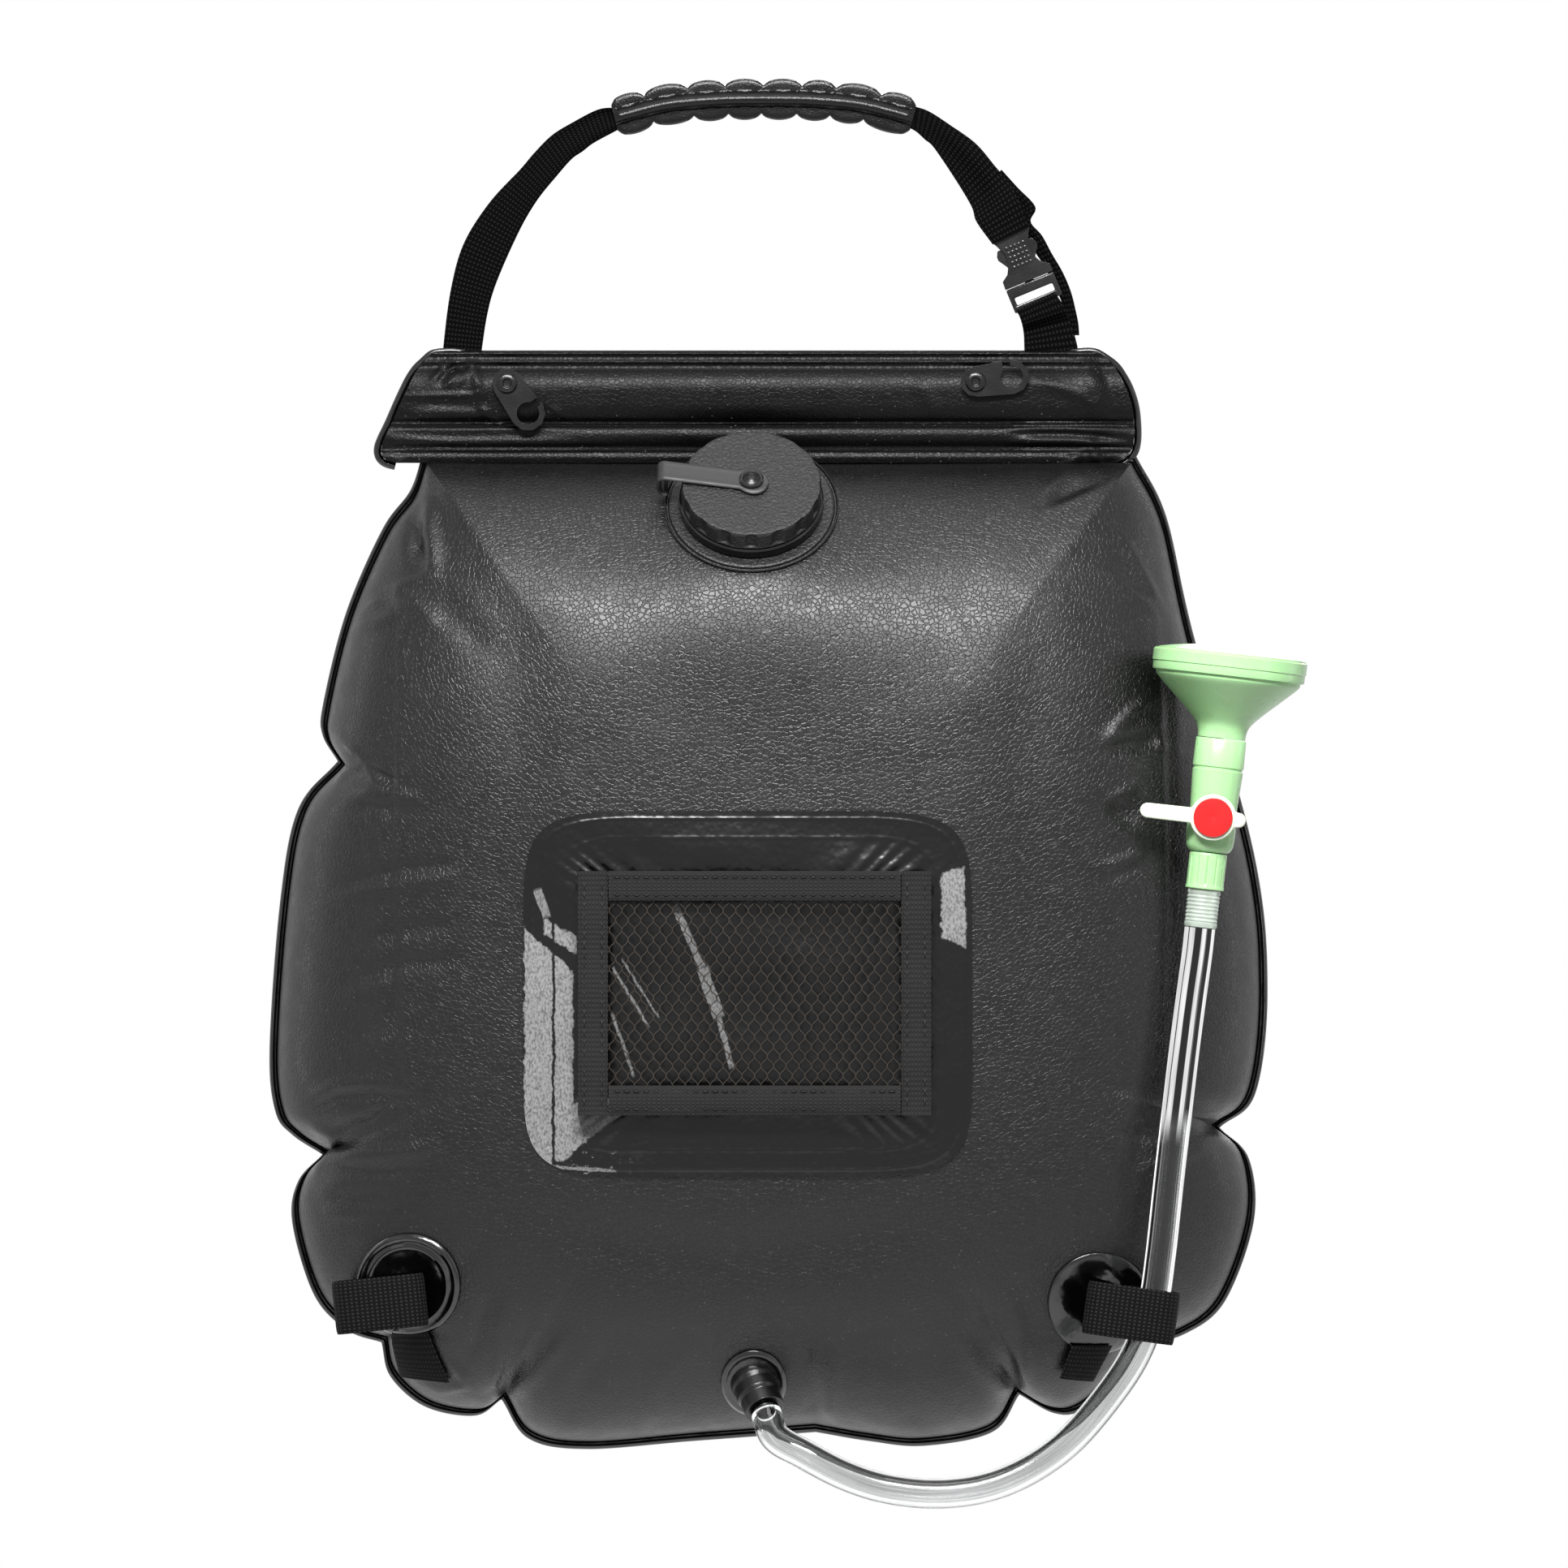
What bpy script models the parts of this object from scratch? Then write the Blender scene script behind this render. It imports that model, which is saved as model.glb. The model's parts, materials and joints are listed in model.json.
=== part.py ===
"""Camp shower bag: a puffed sheet bag under a padded header, hung from a webbing handle with a grip and a
side-release buckle. It is filled at a screw cap, and a clear hose carries a valve and a shower funnel.

The frame is in metres, +Z up, with the front facing -Y. The origin is the underside of the grip at its
middle, where a hand or a branch holds the bag.
"""

import math

import bmesh
import bpy
import numpy as np
from mathutils import Matrix, Vector

# Driving dimensions, in metres
BAG_WIDTH = 0.410
BAG_DEPTH = 0.150
BODY_HEIGHT = 0.408
HEADER_HEIGHT = 0.0430
HANDLE_DROP = 0.0935
GRIP_RISE = 0.0170

# Clearances and cuts
GAP = 0.0003
SEAT = 0.0008
OVERRUN = 0.0300
WELD = 0.000001

# Sheet, webbing and trim
WALL = 0.0010
FILM = 0.0005
PATCH = 0.0010
STRIP_SEAT = SEAT + PATCH + GAP
WEBBING = 0.0013
PIPING_WIDTH = 0.0033
PIPING_HALF = 0.0016

# Reference rows and columns of the photograph, in pixels
HANG_PX = 940
BAG_LEFT_PX = 332
BAG_RIGHT_PX = 1562
GRIP_TOP_PY = 99
HANG_PY = 150
HEADER_PY = 430
BODY_PY = 563
FLOOR_PY = 1783
CENTRE_PX = (945, 1173)

# The seam's outline, lobe by lobe from one pinch to the next, down the left side and back up the right
LOBES_PX = (
    ((520, 563), (505, 606), (471, 653), (426, 756), (398, 867), (397, 905), (416, 938)),
    ((416, 938), (367, 997), (345, 1110), (332, 1290), (339, 1368), (360, 1397), (397, 1421)),
    ((397, 1421), (367, 1454), (360, 1505), (387, 1594), (428, 1637), (470, 1652)),
    ((470, 1652), (481, 1694), (524, 1731), (585, 1742), (618, 1722)),
    ((618, 1722), (651, 1770), (722, 1783), (855, 1773), (1005, 1762)),
    ((1005, 1762), (1070, 1773), (1138, 1779), (1223, 1762), (1256, 1716)),
    ((1256, 1716), (1299, 1739), (1334, 1735), (1380, 1695), (1405, 1655)),
    ((1405, 1655), (1459, 1642), (1509, 1602), (1545, 1503), (1539, 1426), (1503, 1388)),
    ((1503, 1388), (1547, 1346), (1562, 1216), (1545, 1050), (1470, 780), (1437, 637), (1400, 563)),
    ((1400, 563), (960, 563), (520, 563)),
)
LOBE_STEP = 0.0270
CROWN_POWER = 3.0
LOBE_FADE = 6.0
SQUARENESS = 3.3
RING_SHARES = (1.0, 0.985, 0.955, 0.90, 0.80, 0.66, 0.46, 0.22)
SOLVE_STEPS = 12
SLOPE_STEP = 0.0005
CURVE_STEPS = 8
SMOOTH_ANGLE = math.radians(35)

# Header: the profile down its height, as shares of the height and of the tunnel's depth. Each edge is given
# as the row of the photograph and the column of the edge there.
TUNNEL_DEPTH = 0.0060
HEADER_PROFILE_SHARES = (
    (0.00, 0.36),
    (0.05, 0.43),
    (0.13, 0.37),
    (0.23, 0.46),
    (0.31, 0.86),
    (0.40, 1.00),
    (0.51, 1.00),
    (0.61, 0.86),
    (0.70, 0.42),
    (0.78, 0.37),
    (0.90, 0.52),
    (1.00, 0.42),
)
HEADER_LEFT_PX = ((430, 552), (437, 530), (460, 514), (524, 482), (554, 468))
HEADER_RIGHT_PX = ((430, 1336), (440, 1358), (466, 1381), (507, 1396), (554, 1398))
HEADER_COLUMNS = 8
ROD_HALF_HEIGHT = 0.0054
ROD_STEPS = 12
ROD_ENDS_PX = (520, 1374)
ROD_SHARE = 0.455

# Handle: the strap edges, read from the grip down to the header
LEFT_OUTER_PX = ((738, 135), (680, 168), (641, 210), (603, 251), (571, 302), (555, 360), (546, 430))
LEFT_INNER_PX = ((753, 172), (731, 181), (705, 197), (660, 251), (635, 296), (606, 366), (594, 430))
RIGHT_INNER_PX = ((1151, 184), (1171, 210), (1196, 254))
RIGHT_OUTER_PX = ((1164, 150), (1201, 180), (1232, 214))
LOWER_INNER_PX = ((1261, 412), (1262, 430))
LOWER_OUTER_PX = ((1320, 400), (1328, 430))
TAIL_INNER_PX = ((1222, 222), (1256, 262), (1272, 300), (1296, 352), (1306, 405))
TAIL_OUTER_PX = ((1234, 210), (1276, 258), (1293, 306), (1320, 366), (1328, 405))
STRAP_STATIONS = 12
END_ROUND_SHARES = ((0.0, 1.0), (0.5, 0.87), (0.87, 0.5), (1.0, 0.12))
UPPER_STRAP_HALF = 0.0077
LOWER_STRAP_HALF = 0.0090
ANCHOR_LENGTH = 0.0095

# Grip
GRIP_LEFT_PX = (758, 147)
GRIP_MIDDLE_PX = (941, 124)
GRIP_RIGHT_PX = (1124, 147)
GRIP_STATIONS = 25
GRIP_NOTCHES = 6
GRIP_HALF_HEIGHT = 0.0084
GRIP_HALF_DEPTH = 0.0048
GRIP_TALL_SHARES = (1.0, 0.82, 0.42, 0.0, -0.42, -0.82, -1.0, -0.82, -0.42, 0.0, 0.42, 0.82)
GRIP_SIDE_SHARES = (0.0, 0.46, 0.50, 1.0, 0.50, 0.46, 0.0, -0.46, -0.50, -1.0, -0.50, -0.46)
SLOT_TALL_SHARES = (1.0, 0.95, 0.5, 0.0, -0.5, -0.95, -1.0, -0.95, -0.5, 0.0, 0.5, 0.95)
SLOT_SIDE_SHARES = (0.0, 1.0, 1.0, 1.0, 1.0, 1.0, 0.0, -1.0, -1.0, -1.0, -1.0, -1.0)
NOTCH_DEPTH = 0.0011
CORE_HALF_HEIGHT = 0.0052

# Buckle: along its axis from the top bar down, and half widths across it
BUCKLE_TOP_PX = (1240, 279)
BUCKLE_LEAN = math.radians(22.4)
SOCKET_HALF_DEPTH = 0.0034
SOCKET_WALL = 0.0011
SOCKET_OUTLINE = (
    (0.0000, 0.0080),
    (0.0045, 0.0082),
    (0.0065, 0.0070),
    (0.0110, 0.0051),
    (0.0150, 0.0052),
    (0.0190, 0.0074),
    (0.0210, 0.0103),
    (0.0245, 0.0105),
)
BAR_SLOT_TOP = 0.0016
BAR_SLOT_BOTTOM = 0.0037
BAR_SLOT_HALF = 0.0066
CAVITY_TOP = 0.0062
CAVITY_HALF = 0.0092
SOCKET_END = 0.0245
PLUG_END = 0.0350
PLUG_HALF = 0.0104
LADDER_TOP = 0.0290
LADDER_BOTTOM = 0.0322
LADDER_HALF = 0.0084
TONGUE_TOP = 0.0085
TONGUE_HALF = 0.0016
PRONG_ROOT = 0.0238
PRONG_TOP = 0.0085
PRONG_ROOT_HALF = 0.0062
PRONG_WIDTH = 0.0022
PRONG_TIP_HALF = 0.0086
PRONG_BARB = 0.0038

# Clips on the header
LEFT_CLIP_PX = (625, 474)
RIGHT_CLIP_PX = (1202, 472)
LEFT_CLIP_TURN = math.radians(35)
RIGHT_CLIP_TURN = math.radians(98)
RIVET_HEAD = 0.0042
RIVET_SHANK = 0.0018
RIVET_CAP = 0.0014
RIVET_TOP_SHARE = 0.6
CLIP_THICKNESS = 0.0022
EYE_RADIUS = 0.0062
HOOK_REACH = 0.0150
HOOK_HALF = 0.0072
HOOK_BAR = 0.0026
HOOK_MOUTH = 0.0032

# Filler
NECK_PX = (926, 628)
NECK_TILT = math.radians(41)
FLANGE_RADIUS = 0.0357
FLANGE_THICKNESS = 0.0014
NECK_BORE = 0.0205
NECK_RADIUS = 0.0235
NECK_INSIDE = 0.0090
NECK_RISE = 0.0118
COLLAR_RADIUS = 0.0295
COLLAR_HEIGHT = 0.0045
CAP_RADIUS = 0.0287
CAP_INNER = 0.0245
CAP_TOP = 0.0018
CAP_GRIPS = 16
CAP_GRIP_DEPTH = 0.0009
GRIP_POINTS = 4
GASKET = 0.0012
TETHER_THICKNESS = 0.0014
TETHER_RING = 0.0062
TETHER_HALF = 0.0036
TETHER_REACH = 0.0415
TETHER_RIVET = 0.0030
TETHER_OPEN = math.radians(145)
FLAT_BLEND = 0.0300
RIM_FADE_SHARE = 0.10

# Window, pocket and corners
WINDOW_LEFT_TOP_PX = (647, 999)
WINDOW_RIGHT_BOTTOM_PX = (1196, 1445)
WINDOW_SQUARENESS = 7.0
WINDOW_RINGS_SHARES = (1.0, 0.78, 0.56, 0.32, 0.12)
WINDOW_STEPS = 32
POCKET_LEFT_TOP_PX = (714, 1072)
POCKET_RIGHT_BOTTOM_PX = (1146, 1370)
POCKET_STAND = 0.0050
BINDING_WIDTH = 0.0122
BINDING_THICKNESS = 0.0012
GUSSET = 0.0012
NET_THICKNESS = 0.0008
NET_TUCK = 0.0022
NET_COLUMNS = 12
NET_ROWS = 7
NET_HOLE_SHARE = 0.80
LEFT_PATCH_PX = (506, 1578)
RIGHT_PATCH_PX = (1352, 1600)
PATCH_SHARE = 0.05024
PATCH_RINGS_SHARES = (1.0, 0.66, 0.3)
PATCH_STEPS = 20
LOOP_HALF_WIDTH = 0.0190
LOOP_HALF_DEPTH = 0.0085
LOOP_HEIGHT = 0.0215
LOOP_STEPS = 24
STRIP_POINTS = 4
LEFT_LOOP_PX = (471, 1601)
LEFT_LOOP_LEAN = math.radians(-6)
RIGHT_LOOP_PX = (1391, 1612)
RIGHT_LOOP_LEAN = math.radians(8)
LEFT_STRAP_PX = ((492, 1648), (538, 1646), (510, 1678), (554, 1686))
RIGHT_STRAP_PX = ((1316, 1650), (1364, 1650), (1302, 1688), (1342, 1692))

# Outlet
OUTLET_PX = (929, 1697)
SPOUT_DIRECTION = (0.30, -0.58, -0.757)
SPOUT_AXIS = Vector(SPOUT_DIRECTION).normalized()
OUTLET_FLANGE = 0.0135
SPOUT_RADIUS = 0.0092
SPOUT_TIP_RADIUS = 0.0084
SPOUT_BORE = 0.0056
SPOUT_INSIDE = 0.0060
SPOUT_LENGTH = 0.0150
SPOUT_SHOULDER = 0.0075
SPOUT_STEP = 0.0090
BARB_RADIUS = 0.0053
BARB_BORE = 0.0034
BARB_SHOW = 0.0020

# Shower head, along its own axis from the hose's end up
HEAD_PX = (1476, 1141)
HEAD_DEPTH = 0.0580
HEAD_LEAN = math.radians(6.4)
FERRULE_RADIUS = 0.0068
FERRULE_LENGTH = 0.0153
FERRULE_BORE = 0.0040
SLEEVE_RADIUS = 0.0079
SLEEVE_LENGTH = 0.0150
SLEEVE_RIBS = 12
SLEEVE_RIB_DEPTH = 0.0005
VALVE_LENGTH = 0.0465
VALVE_CUP_RADIUS = 0.0098
VALVE_CUP_LENGTH = 0.0130
VALVE_RADIUS = 0.0106
VALVE_TOP_RADIUS = 0.0101
VALVE_NECK_RADIUS = 0.0103
VALVE_FOOT_RADIUS = 0.0083
VALVE_ROUNDING = 0.0032
VALVE_BORE = 0.0042
HUB_HEIGHT = 0.0142
PLUG_RADIUS = 0.0068
PLUG_HOLE = 0.0040
PLUG_BACK = 0.0078
LEVER_HUB = 0.0095
LEVER_THICKNESS = 0.0030
LEVER_REACH = 0.0300
LEVER_TAIL = 0.0135
LEVER_HALF = 0.0031
DISC_RADIUS = 0.0080
DISC_THICKNESS = 0.0008
FUNNEL_NECK = 0.0098
FUNNEL_CONE = 0.0240
FUNNEL_RIM = 0.0316
FUNNEL_RIM_HEIGHT = 0.0105
FUNNEL_WALL = 0.0018
FUNNEL_WAIST = 0.0167
FUNNEL_WAIST_HEIGHT = 0.0108
PLATE_THICKNESS = 0.0018
PLATE_DOME = 0.0032
DOME_REACH_SHARE = 0.60
DOME_RISE_SHARE = 0.65

# Hose: its diameter, and its route by hand from the spout to the ferrule
HOSE_RADIUS = 0.0063
LOOP_DEPTH = 0.0605
HOSE_ROUTE = (
    (0.0165, -0.0640, -0.5460),
    (0.0330, -0.0650, -0.5545),
    (0.0500, -0.0650, -0.5600),
    (0.0700, -0.0640, -0.5622),
    (0.0900, -0.0630, -0.5600),
    (0.1080, -0.0620, -0.5530),
    (0.1250, -0.0612, -0.5410),
    (0.1400, -0.0608, -0.5240),
    (0.1520, -LOOP_DEPTH, -0.5060),
    (0.1592, -0.0604, -0.4860),
    (0.1625, -0.0603, -0.4650),
    (0.1655, -0.0600, -0.4380),
    (0.1690, -0.0594, -0.4080),
    (0.1730, -0.0587, -0.3750),
    (0.1765, -0.0582, -0.3450),
)
HOSE_POINTS = 30

ROUND_STEPS = 24
SMALL_STEPS = 12
FUNNEL_STEPS = 28

# The pieces on the handle's side of its fold
HANDLE_PIECES = (
    "grip_sleeve", "left_strap", "right_strap", "lower_strap", "strap_tail", "buckle_socket", "buckle_plug",
    "prong_left", "prong_right",
)

FINISHES = {
    "sheet": ((0.016, 0.016, 0.016), 0.42),
    "trim": ((0.010, 0.010, 0.010), 0.25),
    "webbing": ((0.012, 0.012, 0.012), 0.85),
    "black_plastic": ((0.010, 0.010, 0.010), 0.35),
    "rubber": ((0.020, 0.020, 0.020), 0.60),
    "film": ((0.030, 0.030, 0.030), 0.08),
    "net": ((0.060, 0.050, 0.045), 0.80),
    "clear_tube": ((0.78, 0.80, 0.80), 0.10),
    "clear_ferrule": ((0.72, 0.76, 0.72), 0.25),
    "green_plastic": ((0.42, 0.83, 0.32), 0.30),
    "cream_plastic": ((0.86, 0.93, 0.78), 0.30),
    "red_plastic": ((0.78, 0.015, 0.008), 0.30),
}


def finish(name, kind):
    """A Principled material of this kind of finish."""
    colour, roughness = FINISHES[kind]
    made = bpy.data.materials.new(name)
    made.use_nodes = True
    surface = made.node_tree.nodes["Principled BSDF"]
    surface.inputs["Base Color"].default_value = (*colour, 1.0)
    surface.inputs["Roughness"].default_value = roughness
    surface.inputs["Metallic"].default_value = 0.0
    return made


def add(name, bm, finish_name, place=Matrix.Identity(4)):
    """An object from this bmesh, with outward faces, its own material and smooth round sides."""
    bmesh.ops.remove_doubles(bm, verts=bm.verts, dist=WELD)
    bmesh.ops.recalc_face_normals(bm, faces=bm.faces)
    mesh = bpy.data.meshes.new(name)
    bm.to_mesh(mesh)
    bm.free()
    mesh.shade_smooth()
    mesh.set_sharp_from_angle(angle=SMOOTH_ANGLE)
    mesh.materials.append(finish(name, finish_name))
    made = bpy.data.objects.new(name, mesh)
    bpy.context.collection.objects.link(made)
    made.matrix_world = place
    return made


def from_faces(points, faces):
    bm = bmesh.new()
    corners = [bm.verts.new(point) for point in np.asarray(points, float).tolist()]
    for face in faces:
        bm.faces.new([corners[k] for k in face])
    return bm


def quads_of(index):
    """The four corners of each cell of a grid of point numbers."""
    corners = [index[:-1, :-1], index[:-1, 1:], index[1:, 1:], index[1:, :-1]]
    return np.stack(corners, axis=-1).reshape(-1, 4)


def sheet(name, outer, inner, finish_name, wrap=False, capped=False):
    """A closed wall between two grids of points. wrap joins the last column to the first, and capped closes
    the last row with one face on each side in place of a rim."""
    rows, columns = outer.shape[:2]
    half = rows * columns
    index = np.arange(half).reshape(rows, columns)
    if wrap:
        index = np.hstack([index, index[:, :1]])
    quads = quads_of(index)
    faces = quads.tolist() + (quads[:, ::-1] + half).tolist()
    rims = [index[0][::-1]]
    if capped:
        faces.append(index[-1, :columns].tolist())
        faces.append((index[-1, :columns][::-1] + half).tolist())
    else:
        rims.append(index[-1])
    if not wrap:
        rims += [index[:, 0], index[:, -1][::-1]]
    for rim in rims:
        faces += [[a, b, b + half, a + half] for a, b in zip(rim[:-1].tolist(), rim[1:].tolist())]
    points = np.concatenate([outer.reshape(-1, 3), inner.reshape(-1, 3)])
    return add(name, from_faces(points, faces), finish_name)


def loft(name, sections, finish_name, closed=False):
    """Closed loops of points joined one to the next. Unless closed, both ends are filled."""
    count, around = sections.shape[:2]
    index = np.arange(count * around).reshape(count, around)
    index = np.hstack([index, index[:, :1]])
    if closed:
        index = np.vstack([index, index[:1]])
    faces = quads_of(index).tolist()
    if not closed:
        faces += [index[0, :around][::-1].tolist(), index[-1, :around].tolist()]
    return add(name, from_faces(sections.reshape(-1, 3), faces), finish_name)


def turned(name, profile, finish_name, place, steps=ROUND_STEPS):
    """A closed profile of (radius, height) points spun about the local Z axis."""
    bm = bmesh.new()
    corners = [bm.verts.new((radius, 0, level)) for radius, level in profile]
    edges = [bm.edges.new(pair) for pair in zip(corners, corners[1:] + corners[:1])]
    bmesh.ops.spin(
        bm, geom=corners + edges, cent=(0, 0, 0), axis=(0, 0, 1), angle=math.tau, steps=steps, use_merge=True
    )
    return add(name, bm, finish_name, place)


def plate(name, outline, low, high, finish_name, place):
    """A flat outline in the local XY plane, extruded from low to high along local Z."""
    bm = bmesh.new()
    bm.faces.new([bm.verts.new((x, y, low)) for x, y in outline])
    grown = bmesh.ops.extrude_face_region(bm, geom=list(bm.faces))
    moved = [item for item in grown["geom"] if isinstance(item, bmesh.types.BMVert)]
    bmesh.ops.translate(bm, verts=moved, vec=(0, 0, high - low))
    return add(name, bm, finish_name, place)


def rectangle(left, bottom, right, top):
    return ((left, bottom), (right, bottom), (right, top), (left, top))


def ring_profile(inner, outer, low, high):
    return ((outer, high), (outer, low), (inner, low), (inner, high))


def rod_profile(radius, low, high):
    return ((radius, high), (radius, low), (0, low), (0, high))


def shape_with(target, tool, operation="DIFFERENCE"):
    """A Boolean of target with a helper that isn't rendered."""
    tool.hide_render = True
    tool.display_type = "WIRE"
    change = target.modifiers.new(tool.name, "BOOLEAN")
    change.operation = operation
    change.object = tool


def smooth(points, count):
    """count points, evenly spaced, on a Catmull-Rom spline through the given ones."""
    points = np.asarray(points, float)
    ends = np.vstack([2 * points[0] - points[1], points, 2 * points[-1] - points[-2]])
    turn = np.linspace(0, 1, CURVE_STEPS + 1)[:-1, None]
    spans = []
    for a, b, c, d in zip(ends, ends[1:], ends[2:], ends[3:]):
        bend = 2 * a - 5 * b + 4 * c - d
        twist = 3 * b - a - 3 * c + d
        spans.append((2 * b + (c - a) * turn + bend * turn**2 + twist * turn**3) / 2)
    line = np.vstack([*spans, points[-1:]])
    run = np.concatenate([[0], np.cumsum(np.linalg.norm(np.diff(line, axis=0), axis=1))])
    at = np.linspace(0, run[-1], count)
    return np.stack([np.interp(at, run, line[:, k]) for k in range(line.shape[1])], axis=1)


def across(px):
    return BAG_WIDTH * (np.asarray(px, float) - HANG_PX) / (BAG_RIGHT_PX - BAG_LEFT_PX)


HINGE_Z = -HANDLE_DROP
HEADER_TOP = HINGE_Z - WEBBING / 2 - GAP
HEADER_BOTTOM = HEADER_TOP - HEADER_HEIGHT
BODY_TOP = HEADER_BOTTOM - GAP
BODY_BOTTOM = BODY_TOP - BODY_HEIGHT


def height(py):
    """The height of a row of the photograph, stretch by stretch between the reference rows."""
    rows = (GRIP_TOP_PY, HANG_PY, HEADER_PY, BODY_PY, FLOOR_PY)
    levels = (GRIP_RISE, 0.0, HINGE_Z, BODY_TOP, BODY_BOTTOM)
    return np.interp(py, rows, levels)


def placed(pixels):
    """X and Z of points read from the photograph."""
    pixels = np.asarray(pixels, float)
    return np.stack([across(pixels[..., 0]), height(pixels[..., 1])], axis=-1)


def facing(x, y, z, turn=0.0):
    """A place whose local X is across, Y is up and Z comes towards the viewer, turned by turn."""
    return (
        Matrix.Translation((x, y, z))
        @ Matrix.Rotation(math.radians(90), 4, "X")
        @ Matrix.Rotation(turn, 4, "Z")
    )


CENTRE = placed(CENTRE_PX)


def seam_outline():
    """Points on the outer edge of the seam, each lobe a smooth curve between its two pinches."""
    parts = []
    for lobe in LOBES_PX:
        ends = placed(lobe)
        length = np.linalg.norm(np.diff(ends, axis=0), axis=1).sum()
        parts.append(smooth(ends, max(3, round(length / LOBE_STEP) + 1))[:-1])
    return np.vstack(parts)


SEAM = seam_outline()
SEAM_ANGLE = np.arctan2(*(SEAM - CENTRE).T[::-1])
SEAM_REACH = np.linalg.norm(SEAM - CENTRE, axis=1)


def reach(angle, inset=0.0):
    """How far the seam lies from the bag's centre in this direction."""
    order = np.argsort(SEAM_ANGLE)
    return np.interp(angle, SEAM_ANGLE[order], SEAM_REACH[order], period=math.tau) - inset


def mean_reach(angle, inset=0.0):
    """The reach without its lobes: a rounded square, as a superellipse."""
    wide = np.abs(np.cos(angle)) / (BAG_WIDTH / 2)
    tall = np.abs(np.sin(angle)) / (BODY_HEIGHT / 2)
    return (wide**SQUARENESS + tall**SQUARENESS) ** (-1 / SQUARENESS) - inset


PANEL_INSET = PIPING_WIDTH + GAP


def ring_reach(share, angle):
    """The distance from the centre at this share of the way out: lobed at the seam, plain inside."""
    plain = mean_reach(angle, PANEL_INSET)
    return share * (plain + (reach(angle, PANEL_INSET) - plain) * share**LOBE_FADE)


def out_share(x, z):
    """How far out a place lies, from 0 at the centre to 1 at the seam."""
    angle = np.arctan2(z - CENTRE[1], x - CENTRE[0])
    distance = np.hypot(x - CENTRE[0], z - CENTRE[1])
    share = distance / mean_reach(angle, PANEL_INSET)
    for _ in range(SOLVE_STEPS):
        share = share * (1 + distance / np.maximum(ring_reach(share, angle), WELD)) / 2
    return np.clip(share, 0, 1)


def crown(share):
    """Half the bag's depth at this share of the way out: a pillow."""
    return GAP / 2 + (BAG_DEPTH / 2 - GAP / 2) * np.sqrt(np.maximum(1 - share**CROWN_POWER, 0))


NECK_X, NECK_Z = placed(NECK_PX)
NECK_Y = -float(crown(out_share(NECK_X, NECK_Z)))


def ease(amount):
    amount = np.clip(amount, 0, 1)
    return amount * amount * (3 - 2 * amount)


def front_at(x, z, share):
    """Y of the front panel, which the stiff filler flange holds flat around the neck."""
    pillow = -crown(share)
    flat = NECK_Y + (z - NECK_Z) * math.tan(NECK_TILT)
    away = np.hypot(x - NECK_X, (z - NECK_Z) / math.cos(NECK_TILT))
    held = ease(1 - (away - FLANGE_RADIUS) / FLAT_BLEND) * ease((1 - share) / RIM_FADE_SHARE)
    return pillow + (flat - pillow) * held


def front(x, z):
    return front_at(x, z, out_share(x, z))


def on_front(x, z, stand):
    """The point of the front panel at x and z, moved out along the panel's normal by stand."""
    y = front(x, z)
    slope_x = (front(x + SLOPE_STEP, z) - front(x - SLOPE_STEP, z)) / (2 * SLOPE_STEP)
    slope_z = (front(x, z + SLOPE_STEP) - front(x, z - SLOPE_STEP)) / (2 * SLOPE_STEP)
    normal = np.stack([slope_x, -np.ones_like(y), slope_z], axis=-1)
    normal /= np.linalg.norm(normal, axis=-1, keepdims=True)
    return np.stack([x, y, z], axis=-1) + normal * stand


def panel_grid(back, wall):
    """The grid of a panel from its seam to its centre, with wall taken off its reach and its depth."""
    angle = SEAM_ANGLE
    rows = []
    for share in RING_SHARES:
        distance = ring_reach(share, angle) - wall * share
        x = CENTRE[0] + distance * np.cos(angle)
        z = CENTRE[1] + distance * np.sin(angle)
        if back:
            y = crown(share) - wall * (1 - share**CROWN_POWER) + 0 * x
        else:
            y = front_at(x, z, share) + wall * (1 - share**CROWN_POWER)
        rows.append(np.stack([x, y, z], axis=-1))
    return np.stack(rows)


def make_panels():
    """The two puffed sheets of the bag. Each is a bowl one wall thick, open at the seam."""
    front_panel = sheet("front_panel", panel_grid(False, 0), panel_grid(False, WALL), "sheet", True, True)
    sheet("back_panel", panel_grid(True, 0), panel_grid(True, WALL), "sheet", True, True)
    hole = turned("neck_cut", rod_profile(NECK_RADIUS + GAP, -OVERRUN, OVERRUN), "trim", neck_place())
    shape_with(front_panel, hole)
    shape_with(front_panel, outlet_cut("panel_outlet_cut"))


def make_seam_piping():
    """The glossy bead round the lobed outline, in front of and behind the seam."""
    direction = np.stack([np.cos(SEAM_ANGLE), np.sin(SEAM_ANGLE)], axis=-1)
    loops = []
    edge = PIPING_HALF / 2
    for inset, half in ((0, edge), (PIPING_WIDTH / 2, PIPING_HALF), (PIPING_WIDTH, edge)):
        at = CENTRE + direction * (SEAM_REACH - inset)[:, None]
        loops.append(np.stack([at[:, 0], np.full(len(at), -half), at[:, 1]], axis=-1))
    front_rows = np.stack(loops)
    back_rows = front_rows * np.array([1, -1, 1])
    sheet("seam_piping", front_rows, back_rows, "trim", wrap=True)


def header_edges(levels):
    """X of the header's left and right edges at these levels."""
    found = []
    for edge in (HEADER_LEFT_PX, HEADER_RIGHT_PX):
        at = placed([(px, py) for py, px in edge])
        found.append(np.interp(-levels, -at[:, 1], at[:, 0]))
    return found


def header_depth(level):
    """How far the header's outer face stands from the seam plane at this level."""
    shares = np.array(HEADER_PROFILE_SHARES)
    return np.interp((HEADER_TOP - level) / HEADER_HEIGHT, shares[:, 0], shares[:, 1]) * TUNNEL_DEPTH


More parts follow.
